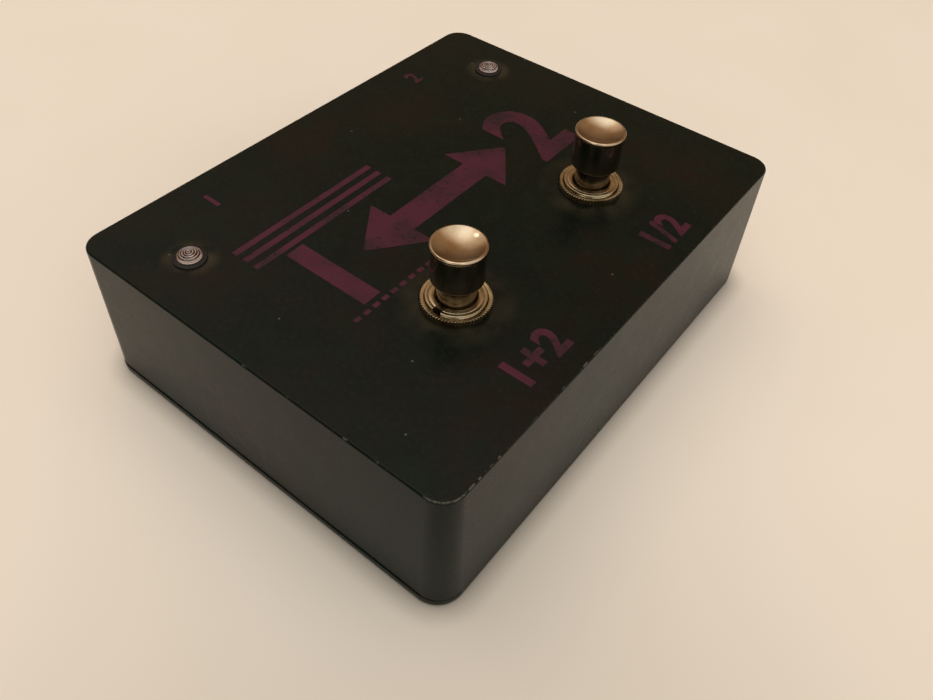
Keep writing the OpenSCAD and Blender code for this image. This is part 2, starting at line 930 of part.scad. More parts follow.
module inlet_housing() {
    color([0.05, 0.05, 0.05])
        difference() {
            along_x()
                rotate_extrude()
                    polygon([
                        [0, -inlet_body_l], [inlet_body_r, -inlet_body_l], [inlet_body_r, -inlet_barrel_l],
                        [inlet_thread_r, -inlet_barrel_l], [inlet_thread_r, 0], [inlet_flange_r, 0],
                        [inlet_flange_r, inlet_flange_t - 0.5], [inlet_flange_r - 0.5, inlet_flange_t],
                        [0, inlet_flange_t]
                    ]);
            along_x()
                translate([0, 0, inlet_flange_t - inlet_bore_l])
                    cylinder(r = inlet_bore_r, h = inlet_bore_l + 1);
        }
}

module inlet_nut() {
    color([0.08, 0.08, 0.08])
        along_x()
            translate([0, 0, -wall_t - inlet_nut_t])
                hex_nut(inlet_nut_af, inlet_thread_r + fixed_fit, inlet_nut_t, 0.5);
}

module inlet_pin() {
    back = inlet_flange_t - inlet_bore_l;
    color([0.78, 0.76, 0.7])
        along_x()
            translate([0, 0, back]) {
                cylinder(r = inlet_pin_r, h = inlet_pin_l - inlet_pin_r);
                translate([0, 0, inlet_pin_l - inlet_pin_r])
                    sphere(r = inlet_pin_r);
            }
}

module inlet_lugs() {
    color([0.8, 0.78, 0.7])
        for (s = [-1, 1])
            translate([-inlet_body_l - inlet_lug_l, s * inlet_lug_y - inlet_lug_t / 2, -inlet_lug_w / 2])
                cube([inlet_lug_l, inlet_lug_t, inlet_lug_w]);
}

// Battery

module battery() {
    color([0.2, 0.2, 0.22])
        translate([-cell_l / 2, cell_y, cell_z + cell_h / 2]) {
            rotate([90, 0, 90])
                linear_extrude(cell_l)
                    rounded_square(cell_d, cell_h, cell_corner_r);
            translate([0, terminal_pitch / 2, 0])
                rotate([0, -90, 0])
                    cylinder(r = terminal_r, h = terminal_h);
            translate([0, -terminal_pitch / 2, 0])
                rotate([0, -90, 0])
                    difference() {
                        cylinder(r = cup_r, h = terminal_h);
                        translate([0, 0, cup_floor])
                            cylinder(r = cup_r - cup_wall, h = terminal_h);
                    }
        }
}

snap_back = -cell_l / 2 - snap_gap - snap_t;

module battery_snap() {
    color([0.07, 0.07, 0.07])
        translate([snap_back, cell_y, cell_z + cell_h / 2])
            difference() {
                rotate([90, 0, 90])
                    linear_extrude(snap_t)
                        rounded_square(snap_w, snap_h, snap_corner_r);
                for (s = [-1, 1])
                    translate([snap_t - snap_pocket_l, s * terminal_pitch / 2, 0])
                        along_x()
                            cylinder(r = snap_pocket_r, h = snap_pocket_l + 1);
            }
}

module battery_clip() {
    inside = cell_d / 2 + cell_fit;
    color([0.7, 0.7, 0.68])
        translate([-clip_l / 2, cell_y, lid_t])
            rotate([90, 0, 90])
                linear_extrude(clip_l)
                    polygon([
                        [-inside - clip_t, 0], [inside + clip_t, 0], [inside + clip_t, clip_leg_h],
                        [inside, clip_leg_h], [inside, clip_t], [-inside, clip_t],
                        [-inside, clip_leg_h], [-inside - clip_t, clip_leg_h]
                    ]);
}

// Circuit board, hung under both footswitches

module circuit_board() {
    slot_across = lug_tail_w + 2 * lug_slot_fit;
    slot_through = lug_t + 2 * lug_slot_fit;
    color([0.1, 0.35, 0.16])
        difference() {
            translate([-board_w / 2, -switch_front - board_front, board_top - board_t])
                cube([board_w, board_front + board_rear, board_t]);
            for (side = [-1, 1])
                at_switch(side)
                    at_lugs()
                        translate([0, 0, base_bottom - lug_l - board_t / 2])
                            cube([slot_across, slot_through, board_t + 2], center = true);
        }
}

module board_resistors() {
    half = resistor_l / 2;
    lead_x = half + resistor_lead_out;
    axis_z = board_top + resistor_r;
    middle = (resistor_count - 1) / 2;
    color([0.75, 0.6, 0.4])
        for (i = [0:resistor_count - 1])
            translate([resistor_x, board_parts_y + (i - middle) * resistor_pitch, axis_z]) {
                along_x()
                    translate([0, 0, -half])
                        cylinder(r = resistor_r, h = resistor_l);
                along_x()
                    translate([0, 0, -lead_x])
                        cylinder(r = resistor_lead_r, h = 2 * lead_x);
                for (s = [-1, 1])
                    translate([s * lead_x, 0, -resistor_r])
                        cylinder(r = resistor_lead_r, h = resistor_r + resistor_lead_r);
            }
}

module board_capacitors() {
    color([0.1, 0.12, 0.3])
        for (s = [-1, 1])
            translate([capacitor_x, board_parts_y + s * (capacitor_r + capacitor_gap), board_top])
                rotate_extrude()
                    polygon([
                        [0, 0], [capacitor_r, 0], [capacitor_r, capacitor_groove_z - 0.4],
                        [capacitor_r - capacitor_groove, capacitor_groove_z],
                        [capacitor_r, capacitor_groove_z + 0.4], [capacitor_r, capacitor_h - 0.4],
                        [capacitor_r - 0.4, capacitor_h], [0, capacitor_h]
                    ]);
}

// Insulated wires, each over the battery to a pad on the board between the switches

// A point of the fan in which the wires draw together; spread is 1 above the pads
function fan(place, spread, reach) =
    [spread * place * pad_pitch, pad_y + reach * wire_lead, over_z];

function pad_end(place) = [
    fan(place, 1, 2), [place * pad_pitch, pad_y + wire_lead / 3, over_z - wire_lead],
    [place * pad_pitch, pad_y, board_top + wire_lead], [place * pad_pitch, pad_y, board_top]
];

function rear_end(place) = concat([for (step = rear_fan) fan(place, step[0], step[1])], pad_end(place));

function side_end(place, s) = concat([fan(place, side_fan[0], side_fan[1] + s / 3)], pad_end(place));

module battery_wires() {
    mid = cell_z + cell_h / 2;
    color([0.6, 0.08, 0.08])
        for (s = [-1, 1]) {
            y = cell_y + s * wire_lead;
            wire(concat(
                [
                    [snap_back, y, mid], [snap_back - wire_lead, y, mid],
                    [snap_back - wire_lead, y - wire_lead / 2, mid + 2 * wire_lead],
                    [snap_back + 2 * wire_lead, y - wire_lead, over_z]
                ],
                side_end(-4.5 + s / 2, s)
            ));
        }
}

module lamp_wires() {
    color([0.85, 0.8, 0.2])
        for (side = [-1, 1], s = [-1, 1]) {
            y = lamp_y + s * lead_half_pitch;
            top = box_h + lead_end;
            wire(concat(
                [
                    [side * lamp_x, y, top], [side * lamp_x, y, top - wire_lead],
                    [
                        side * (0.6 * lamp_x - s * lead_half_pitch),
                        0.65 * lamp_y + 1.5 * s * lead_half_pitch, over_z
                    ]
                ],
                rear_end(side * (2.5 - s / 2))
            ));
        }
}

module socket_wires() {
    tab_x = arm_w / 2 + tab_l - 2 * wire_r;
    tab_y = strip_front - wafer_l / 2;
    start = [tab_x, tab_y, strip_low + spring_strip_t];
    color([0.85, 0.85, 0.82])
        for (place = [-1:1]) {
            tail = rear_end(place);
            lead = socket_point(place, start + [0, 0, wire_lead]);
            middle = (lead + tail[0]) / 2;
            wire(concat(
                [socket_point(place, start), lead, [middle[0], middle[1], over_z]],
                tail
            ));
        }
}

module inlet_wires() {
    color([0.1, 0.1, 0.1])
        for (s = [-1, 1]) {
            start = [-inlet_body_l - inlet_lug_l, s * inlet_lug_y, 0];
            wire(concat(
                [
                    inlet_point(start), inlet_point(start - [wire_lead, 0, 0]),
                    [switch_x, cell_y - cell_d / 8 + s * wire_lead / 2, over_z]
                ],
                side_end(4.5 - s / 2, s)
            ));
        }
}

enclosure_body();
bottom_lid();
lid_screws();
at_switch(-1) switch_cap();  // left_switch_cap
at_switch(-1) switch_plunger();  // left_switch_plunger
at_switch(-1) switch_spring();  // left_switch_spring
at_switch(-1) switch_knurled_nut();  // left_switch_knurled_nut
at_switch(-1) switch_bushing();  // left_switch_bushing
at_switch(-1) switch_lock_washer();  // left_switch_lock_washer
at_switch(-1) switch_hex_nut();  // left_switch_hex_nut
at_switch(-1) switch_frame();  // left_switch_frame
at_switch(-1) switch_base();  // left_switch_base
at_switch(-1) switch_lugs();  // left_switch_lugs
at_switch(1) switch_cap();  // right_switch_cap
at_switch(1) switch_plunger();  // right_switch_plunger
at_switch(1) switch_spring();  // right_switch_spring
at_switch(1) switch_knurled_nut();  // right_switch_knurled_nut
at_switch(1) switch_bushing();  // right_switch_bushing
at_switch(1) switch_lock_washer();  // right_switch_lock_washer
at_switch(1) switch_hex_nut();  // right_switch_hex_nut
at_switch(1) switch_frame();  // right_switch_frame
at_switch(1) switch_base();  // right_switch_base
at_switch(1) switch_lugs();  // right_switch_lugs
at_lamp(-1) lamp_lens();  // left_lamp_lens
at_lamp(-1) lamp_clip_ring();  // left_lamp_clip_ring
at_lamp(-1) lamp();  // left_lamp
at_lamp(1) lamp_lens();  // right_lamp_lens
at_lamp(1) lamp_clip_ring();  // right_lamp_clip_ring
at_lamp(1) lamp();  // right_lamp
lamp_leads();
at_socket(-1) socket_sleeve();  // left_socket_sleeve
at_socket(-1) socket_nut();  // left_socket_nut
at_socket(-1) socket_tip_spring();  // left_socket_tip_spring
at_socket(0) socket_sleeve();  // centre_socket_sleeve
at_socket(0) socket_nut();  // centre_socket_nut
at_socket(0) socket_tip_spring();  // centre_socket_tip_spring
at_socket(1) socket_sleeve();  // right_socket_sleeve
at_socket(1) socket_nut();  // right_socket_nut
at_socket(1) socket_tip_spring();  // right_socket_tip_spring
socket_washers();
socket_lock_washers();
socket_wafers();
at_inlet() inlet_housing();  // power_inlet_housing
at_inlet() inlet_nut();  // power_inlet_nut
at_inlet() inlet_pin();  // power_inlet_pin
at_inlet() inlet_lugs();  // power_inlet_lugs
battery();
battery_snap();
battery_clip();
circuit_board();
board_resistors();
board_capacitors();
battery_wires();
lamp_wires();
socket_wires();
inlet_wires();
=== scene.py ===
import json
import math

import bpy
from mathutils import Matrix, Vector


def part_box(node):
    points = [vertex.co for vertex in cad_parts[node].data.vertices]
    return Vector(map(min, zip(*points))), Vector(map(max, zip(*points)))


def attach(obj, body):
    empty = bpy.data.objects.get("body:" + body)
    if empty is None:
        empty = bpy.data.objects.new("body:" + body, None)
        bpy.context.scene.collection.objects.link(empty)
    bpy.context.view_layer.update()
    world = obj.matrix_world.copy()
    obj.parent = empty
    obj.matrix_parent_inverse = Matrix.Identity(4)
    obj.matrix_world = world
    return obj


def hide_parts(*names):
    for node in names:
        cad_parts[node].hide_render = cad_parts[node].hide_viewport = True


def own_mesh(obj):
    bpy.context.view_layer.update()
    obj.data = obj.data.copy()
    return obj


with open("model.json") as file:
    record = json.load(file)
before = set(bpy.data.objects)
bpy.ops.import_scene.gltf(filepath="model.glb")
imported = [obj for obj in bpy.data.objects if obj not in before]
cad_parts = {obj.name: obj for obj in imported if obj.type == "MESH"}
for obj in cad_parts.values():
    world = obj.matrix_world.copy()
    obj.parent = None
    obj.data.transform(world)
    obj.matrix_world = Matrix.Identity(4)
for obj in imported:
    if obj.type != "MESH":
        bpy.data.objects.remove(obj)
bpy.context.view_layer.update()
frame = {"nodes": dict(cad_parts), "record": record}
mm = 0.001
slack = 0.01  # in mm, for picking points by their place
softFar = 0.1  # a soft edge has points this far from its corner in mm, and one between them
softNear = 0.03
# what several pieces share, in mm: the height of the top face, and the switch and the lamp on the right
layout = {"top": 34, "switch": (23.2, -19.2), "lamp": (47.2, 26.6)}
sides = {"left": -1, "right": 1}
print("frame loaded with", len(frame["nodes"]), "nodes")


# working by operator

def deselectAll():
    if bpy.context.mode != "OBJECT":
        bpy.ops.object.mode_set(mode="OBJECT")
    bpy.ops.object.select_all(action="DESELECT")


def pick(*pieces):
    deselectAll()
    for piece in pieces:
        piece.select_set(True)
    bpy.context.view_layer.objects.active = pieces[0]


def editAll():
    bpy.ops.object.mode_set(mode="EDIT")
    bpy.ops.mesh.select_mode(type="VERT")
    bpy.ops.mesh.select_all(action="SELECT")


def editWhere(piece, test):
    # enters edit mode with only the points selected that pass the test
    pick(piece)
    editAll()
    bpy.ops.mesh.select_all(action="DESELECT")
    bpy.ops.object.mode_set(mode="OBJECT")
    for point in piece.data.vertices:
        point.select = test(point.co / mm)
    bpy.ops.object.mode_set(mode="EDIT")


def selectRim():
    # in edit mode, selects the open edges alone
    bpy.ops.mesh.select_all(action="DESELECT")
    bpy.ops.mesh.select_non_manifold()


def applyPlace():
    bpy.ops.object.transform_apply(location=True, rotation=True, scale=True)


def cleanMesh(piece, angle=35):
    # doubles go first, so that the normals are worked out on a closed skin
    pick(piece)
    editAll()
    bpy.ops.mesh.remove_doubles(threshold=0.001 * mm)
    bpy.ops.mesh.normals_make_consistent(inside=False)
    bpy.ops.object.mode_set(mode="OBJECT")
    bpy.ops.object.shade_smooth_by_angle(angle=math.radians(angle))


def turned(name, profile, segments=96, solid=False):
    # as on a lathe: a ring is extruded to each next radius and height of the profile, in mm. A solid piece
    # is closed at its first and last rings, and any other profile ends where it starts
    deselectAll()
    radius, height = profile[0]
    bpy.ops.mesh.primitive_circle_add(
        vertices=segments, radius=radius * mm, location=(0, 0, height * mm),
        fill_type="NGON" if solid else "NOTHING")
    piece = bpy.context.object
    piece.name = name
    applyPlace()
    editAll()
    bpy.ops.mesh.select_mode(type="EDGE")
    for nextRadius, nextHeight in profile[1:]:
        rise = (nextHeight - height) * mm
        ratio = nextRadius / radius
        bpy.ops.mesh.extrude_edges_move(TRANSFORM_OT_translate={"value": (0, 0, rise)})
        bpy.ops.transform.resize(value=(ratio, ratio, 1), center_override=(0, 0, 0))
        radius, height = nextRadius, nextHeight
    if solid:
        bpy.ops.mesh.edge_face_add()
    cleanMesh(piece)
    return piece


def rod(name, radius, low, high, segments=64):
    return turned(name, [(radius, low), (radius, high)], segments, solid=True)


def settle(piece, place, turn=(0, 0, 0)):
    # from its own axis to its place, which stays in the mesh
    pick(piece)
    piece.location = [value * mm for value in place]
    piece.rotation_euler = turn
    applyPlace()
    return piece


def copied(piece, name):
    pick(piece)
    bpy.ops.object.duplicate(linked=False)
    bpy.context.object.name = name
    return bpy.context.object


def joined(name, *pieces):
    pick(*pieces)
    bpy.ops.object.join()
    bpy.context.object.name = name
    return bpy.context.object


def discard(*pieces):
    for piece in pieces:
        bpy.data.objects.remove(piece, do_unlink=True)


def combine(piece, tool, operation="DIFFERENCE"):
    pick(piece)
    change = piece.modifiers.new("combine", "BOOLEAN")
    change.operation = operation
    change.object = tool
    change.solver = "EXACT"
    bpy.ops.object.modifier_apply(modifier=change.name)
    discard(tool)
    return piece


def block(name, low, high, bevel=0):
    # a cube stretched between two corners in mm, with its edges bevelled where a bevel is given
    deselectAll()
    bpy.ops.mesh.primitive_cube_add(size=1, location=[(a + b) / 2 * mm for a, b in zip(low, high)])
    piece = bpy.context.object
    piece.name = name
    piece.scale = [(b - a) * mm for a, b in zip(low, high)]
    applyPlace()
    if bevel:
        editAll()
        bpy.ops.mesh.bevel(offset=bevel * mm, segments=2, affect="EDGES")
        bpy.ops.object.mode_set(mode="OBJECT")
    return piece


def roundedPlate(name, width, depth, corner, height, down=False):
    # a flat plate with round corners, left in edit mode with its face selected
    deselectAll()
    bpy.ops.mesh.primitive_plane_add(
        size=1, location=(0, 0, height * mm), rotation=(math.pi if down else 0, 0, 0))
    piece = bpy.context.object
    piece.name = name
    piece.scale = (width * mm, depth * mm, 1)
    applyPlace()
    editAll()
    bpy.ops.mesh.bevel(offset=corner * mm, segments=12, affect="VERTICES")
    bpy.ops.mesh.select_all(action="SELECT")
    return piece


def insetSteps(steps):
    # each step draws the selected face in and lifts it, both in mm
    for inward, rise in steps:
        bpy.ops.mesh.inset(thickness=inward * mm, depth=rise * mm, use_even_offset=True)


def quarterRound(radius, count):
    # inset steps that follow a quarter circle from upright to level
    angles = [math.pi / 2 * i / count for i in range(count + 1)]
    return [(radius * (math.cos(a) - math.cos(b)), radius * (math.sin(b) - math.sin(a)))
            for a, b in zip(angles, angles[1:])]


def evenShade(piece, angle=35):
    # flat faces keep one tone beside the rounded edges
    pick(piece)
    bpy.ops.object.shade_smooth_by_angle(angle=math.radians(angle))
    change = piece.modifiers.new("even", "WEIGHTED_NORMAL")
    change.keep_sharp = True
    bpy.ops.object.modifier_apply(modifier=change.name)


def dress(piece, body, slot, *nodes, finish=None):
    # the finish is the one of the material slot, unless another is named
    piece.data.materials.clear()
    piece.data.materials.append(finishes[finish or slotFinish[slot]])
    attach(piece, body)
    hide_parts(*nodes)


# materials

def linear(code):
    # sRGB hex to linear light
    values = [int(code[i:i + 2], 16) / 255 for i in (1, 3, 5)]
    return [v / 12.92 if v <= 0.04045 else ((v + 0.055) / 1.055) ** 2.4 for v in values] + [1]


def perMm(size):
    # texture scale for a pattern of this many mm
    return 1 / (size * mm)


colourMix = {"out": 2, "data_type": "RGBA"}  # settings and output of a mix of two colours


def addNode(tree, kind, values=None, out=0, **settings):
    # adds one node with its settings, links or fills its inputs and gives back one output
    node = tree.nodes.new("ShaderNode" + kind)
    for key, value in settings.items():
        setattr(node, key, value)
    for key, value in (values or {}).items():
        if isinstance(value, bpy.types.NodeSocket):
            tree.links.new(value, node.inputs[key])
        else:
            node.inputs[key].default_value = value
    return node.outputs[out]


def newMaterial(name, sockets):
    material = bpy.data.materials.new(name)
    material.use_nodes = True
    tree = material.node_tree
    shader = tree.nodes["Principled BSDF"]
    for key, value in sockets.items():
        shader.inputs[key].default_value = value
    return material, tree, shader, addNode(tree, "TexCoord", out="Object")


def connect(tree, shader, sockets):
    for key, value in sockets.items():
        tree.links.new(value, shader.inputs[key])


def mirroredPlace(tree, place):
    # left and right share one pattern: x without its sign, and y
    across = addNode(tree, "SeparateXYZ", {0: place}, out="X")
    along = addNode(tree, "SeparateXYZ", {0: place}, out="Y")
    across = addNode(tree, "Math", {0: across}, operation="ABSOLUTE")
    return addNode(tree, "CombineXYZ", {"X": across, "Y": along})


paintLook = {
    "black": "#05110c", "brown": "#17120d", "green": "#0a160f", "grit": "#1b1e17",
    "dust": "#463d2f", "chip": "#4f4e45", "rust": "#392f22", "speck": "#6f6b62",
    "roughness": 0.27, "ior": 1.205,
    # pattern sizes in mm
    "cloud": 24, "fleck": 5, "grain": 0.8, "chipSize": 0.5, "peel": 0.9, "peelDeep": 0.03, "speckApart": 29,
    # dust round the fittings: middle, where it is full and where it ends in mm, strength
    "dustRings": [(layout["switch"], 6.9, 12, 0.5), (layout["lamp"], 3.4, 6, 0.75)],
    "frontEdge": (-45.1, -45.6),  # between these places, in mm, the front edge begins
    # worn spots along the top edge: place in mm, reach, strength
    "worn": [((-56.6, -43.9), 3.4, 0.27), ((-52.6, -45.8), 0.7, 0.40), ((-50.6, -45.9), 0.4, 0.30),
             ((-47.5, -45.9), 0.5, 0.24), ((-45.6, -46), 0.4, 0.30), ((-35.7, -46), 0.8, 0.2),
             ((-27.1, -46), 0.5, 0.2), ((-20.3, -46), 0.8, 0.24), ((-16, -46), 1.2, 0.22),
             ((-58.8, -1.3), 0.5, 0.18), ((-58.8, -11.7), 0.5, 0.18), ((-58.8, -24.8), 0.6, 0.24),
             ((-58.8, -31.7), 0.5, 0.22)],
}


def dustAndSpecks(tree, look, place, fleck, up, colour):
    # patchy dust round the fittings, and a few pale specks on the level top
    half = mirroredPlace(tree, place)
    dust = 0
    for middle, full, end, strength in look["dustRings"]:
        apart = addNode(tree, "VectorMath", {
            0: half, 1: [v * mm for v in middle] + [0]}, out="Value", operation="DISTANCE")
        ring = addNode(tree, "MapRange", {
            "Value": apart, "From Min": full * mm, "From Max": end * mm, "To Min": strength, "To Max": 0})
        dust = addNode(tree, "Math", {0: dust, 1: ring}, operation="MAXIMUM")
    patchy = addNode(tree, "MapRange", {"Value": fleck, "From Min": 0.3, "From Max": 0.7})
    dust = addNode(tree, "Math", {0: dust, 1: patchy}, operation="MULTIPLY")
    colour = addNode(tree, "Mix", {0: dust, 6: colour, 7: linear(look["dust"])}, **colourMix)
    level = addNode(tree, "Math", {0: up, 1: 0.99}, operation="GREATER_THAN")
    cell = addNode(tree, "TexVoronoi", {
        "Vector": place, "Scale": perMm(look["speckApart"])}, out="Distance", voronoi_dimensions="2D")
    speck = addNode(tree, "MapRange", {
        "Value": cell, "From Min": 0.003, "From Max": 0.009, "To Min": 0.6, "To Max": 0})
    speck = addNode(tree, "Math", {0: speck, 1: level}, operation="MULTIPLY")
    return addNode(tree, "Mix", {0: speck, 6: colour, 7: linear(look["speck"])}, **colourMix)


def chippedEdge(tree, look, place, fleck, up, colour):
    # only the rounded top edge is rubbed bare, most of all in the worn spots
    rising = addNode(tree, "MapRange", {"Value": up, "From Min": 0.5, "From Max": 0.7})
    falling = addNode(tree, "MapRange", {"Value": up, "From Min": 0.985, "From Max": 0.93})
    edge = addNode(tree, "Math", {0: rising, 1: falling}, operation="MULTIPLY")
    flake = addNode(tree, "TexNoise", {
        "Vector": place, "Scale": perMm(look["chipSize"]), "Detail": 4, "Roughness": 0.6})
    along = addNode(tree, "SeparateXYZ", {0: place}, out="Y")
    begins, full = look["frontEdge"]
    front = addNode(tree, "MapRange", {
        "Value": along, "From Min": begins * mm, "From Max": full * mm, "To Max": 0.05})
    flake = addNode(tree, "Math", {0: flake, 1: front})
    for spot, reach, strength in look["worn"]:
        apart = addNode(tree, "VectorMath", {
            0: place, 1: [v * mm for v in (*spot, layout["top"])]}, out="Value", operation="DISTANCE")
        more = addNode(tree, "MapRange", {
            "Value": apart, "From Min": 0.7 * reach * mm, "From Max": 1.3 * reach * mm,
            "To Min": strength, "To Max": 0})
        flake = addNode(tree, "Math", {0: flake, 1: more})
    bare = addNode(tree, "MapRange", {"Value": flake, "From Min": 0.62, "From Max": 0.84})
    chip = addNode(tree, "Math", {0: bare, 1: edge}, operation="MULTIPLY")
    stain = addNode(tree, "MapRange", {"Value": fleck, "From Min": 0.5, "From Max": 0.6})
    metal = addNode(tree, "Mix", {
        0: stain, 6: linear(look["chip"]), 7: linear(look["rust"])}, **colourMix)
    return addNode(tree, "Mix", {0: chip, 6: colour, 7: metal}, **colourMix)


def stovedPaint(look, name, worn):
    # black stoving paint on die-cast zinc: a dull shine with a fine orange peel, grit and brownish handling
    # marks, and where it is worn, dust, specks, and chips down to grey metal
    material, tree, shader, place = newMaterial(name, {"IOR": look["ior"]})
    cloud = addNode(tree, "TexNoise", {"Vector": place, "Scale": perMm(look["cloud"]), "Detail": 4})
    fleck = addNode(tree, "TexNoise", {"Vector": place, "Scale": perMm(look["fleck"]), "Detail": 4})
    grain = addNode(tree, "TexNoise", {"Vector": place, "Scale": perMm(look["grain"]), "Detail": 3})
    brown = addNode(tree, "MapRange", {"Value": cloud, "From Min": 0.42, "From Max": 0.7})
    green = addNode(tree, "MapRange", {"Value": fleck, "From Min": 0.45, "From Max": 0.75})
    grit = addNode(tree, "MapRange", {"Value": grain, "From Min": 0.5, "From Max": 0.85, "To Max": 0.7})
    colour = addNode(tree, "Mix", {
        0: brown, 6: linear(look["black"]), 7: linear(look["brown"])}, **colourMix)
    colour = addNode(tree, "Mix", {0: green, 6: colour, 7: linear(look["green"])}, **colourMix)
    colour = addNode(tree, "Mix", {0: grit, 6: colour, 7: linear(look["grit"])}, **colourMix)
    if worn:
        normal = addNode(tree, "NewGeometry", out="Normal")
        up = addNode(tree, "SeparateXYZ", {0: normal}, out="Z")
        colour = dustAndSpecks(tree, look, place, fleck, up, colour)
        colour = chippedEdge(tree, look, place, fleck, up, colour)
    shine = addNode(tree, "MapRange", {
        "Value": fleck, "From Min": 0.3, "From Max": 0.7,
        "To Min": look["roughness"] - 0.01, "To Max": look["roughness"] + 0.03})
    peel = addNode(tree, "TexNoise", {"Vector": place, "Scale": perMm(look["peel"]), "Detail": 2})
    bump = addNode(tree, "Bump", {"Height": peel, "Strength": 0.18, "Distance": look["peelDeep"] * mm})
    connect(tree, shader, {"Base Color": colour, "Roughness": shine, "Normal": bump})
    return material


inkLook = {"ink": "#46172a", "thin": "#2d121e", "bare": "#100f0d", "patch": 9, "crumb": 1.1}


def screenInk(look):
    # screen-printed ink rubbed thin by shoes: dull plum with crumbs missing down to the black paint
    material, tree, shader, place = newMaterial("screenPrintedPlumInk", {"Roughness": 0.45, "IOR": 1.3})
    patch = addNode(tree, "TexNoise", {"Vector": place, "Scale": perMm(look["patch"]), "Detail": 3})
    crumb = addNode(tree, "TexNoise", {
        "Vector": place, "Scale": perMm(look["crumb"]), "Detail": 5, "Roughness": 0.7})
    thin = addNode(tree, "MapRange", {"Value": patch, "From Min": 0.4, "From Max": 0.7})
    colour = addNode(tree, "Mix", {
        0: thin, 6: linear(look["ink"]), 7: linear(look["thin"])}, **colourMix)
    rubbing = addNode(tree, "MapRange", {
        "Value": patch, "From Min": 0.35, "From Max": 0.75, "To Min": -0.06, "To Max": 0.1})
    loss = addNode(tree, "Math", {0: crumb, 1: rubbing})
    loss = addNode(tree, "MapRange", {"Value": loss, "From Min": 0.57, "From Max": 0.64})
    colour = addNode(tree, "Mix", {0: loss, 6: colour, 7: linear(look["bare"])}, **colourMix)
    connect(tree, shader, {"Base Color": colour})
    return material


platingLooks = {
    # bright colour, tarnish colour, roughness from and to, tarnish patch in mm, scratch in mm
    "wornChromePlate": ("#b4a48e", "#9d8363", 0.06, 0.11, 4, 0.12),
    "turnedNickelPlate": ("#b0a286", "#857555", 0.2, 0.34, 3, 0.15),
    "drawnStemPlate": ("#746858", "#594e40", 0.16, 0.28, 3, 0.15),
    "barrelNickelPlate": ("#c0bbb0", "#98907f", 0.20, 0.32, 3, 0.15),
    "rolledZincSteel": ("#a9a7a1", "#84827b", 0.28, 0.42, 2, 0.2),
    "tinnedBrass": ("#bdb7a8", "#948b76", 0.3, 0.45, 2, 0.2),
    "springSteelWire": ("#a5a49f", "#7f7d77", 0.22, 0.34, 2, 0.2),
    "rolledBronze": ("#b79a62", "#8b7040", 0.25, 0.38, 2, 0.2),
}
rubbed = {"wornChromePlate": {"above": 46.2, "dull": 0.07}}  # height in mm, added roughness


def plating(name, look):
    # plated metal that has been handled: mirror-like, with cloudy tarnish and hairline scratches
    bright, tarnish, low, high, patchSize, scratchSize = look
    material, tree, shader, place = newMaterial(name, {"Metallic": 1})
    patch = addNode(tree, "TexNoise", {"Vector": place, "Scale": perMm(patchSize), "Detail": 4})
    share = addNode(tree, "MapRange", {"Value": patch, "From Min": 0.4, "From Max": 0.75})
    colour = addNode(tree, "Mix", {
        0: share, 6: linear(bright), 7: linear(tarnish)}, **colourMix)
    drawn = addNode(tree, "Mapping", {"Vector": place, "Scale": (1, 1, 0.15)})
    scratch = addNode(tree, "TexNoise", {"Vector": drawn, "Scale": perMm(scratchSize), "Detail": 2})
    shine = addNode(tree, "MapRange", {
        "Value": scratch, "From Min": 0.3, "From Max": 0.75, "To Min": low, "To Max": high})
    if name in rubbed:  # shoes dull the hollow of the button
        zone = rubbed[name]
        height = addNode(tree, "SeparateXYZ", {0: place}, out="Z")
        normal = addNode(tree, "NewGeometry", out="Normal")
        up = addNode(tree, "SeparateXYZ", {0: normal}, out="Z")
        inside = addNode(tree, "MapRange", {
            "Value": up, "From Min": 0.8, "From Max": 0.92, "To Max": zone["dull"]})
        lifted = addNode(tree, "Math", {0: height, 1: zone["above"] * mm}, operation="GREATER_THAN")
        dull = addNode(tree, "Math", {0: inside, 1: lifted}, operation="MULTIPLY")
        shine = addNode(tree, "Math", {0: shine, 1: dull})
    connect(tree, shader, {"Base Color": colour, "Roughness": shine})
    return material


mouldedLooks = {
    # main colour, second colour, roughness, cloud in mm, grain in mm
    "mouldedBlackNylon": ("#1d1d1d", "#262524", 0.42, 5, 0.3),
    "laminatedPhenolic": ("#7a4d2c", "#5c371d", 0.5, 3, 0.25),
    "lacqueredSteelJacket": ("#3a3a3d", "#2c2c30", 0.35, 6, 0.4),
    "mouldedVinyl": ("#232323", "#1b1b1b", 0.6, 4, 0.3),
    "maskedGlassLaminate": ("#2c5c3a", "#234b30", 0.38, 4, 0.4),
    "dippedResistorCoat": ("#c9a878", "#b39263", 0.45, 2, 0.2),
    "shrunkSleeve": ("#2b3160", "#22284f", 0.3, 3, 0.3),
    "redInsulation": ("#8e2a26", "#7a211e", 0.4, 3, 0.2),
    "yellowInsulation": ("#c7ae3c", "#b39a2e", 0.4, 3, 0.2),
    "whiteInsulation": ("#d8d6cd", "#c6c3b8", 0.4, 3, 0.2),
    "blackInsulation": ("#242424", "#1c1c1c", 0.4, 3, 0.2),
    "mouldedThermoset": ("#28406e", "#203459", 0.45, 4, 0.3),
}


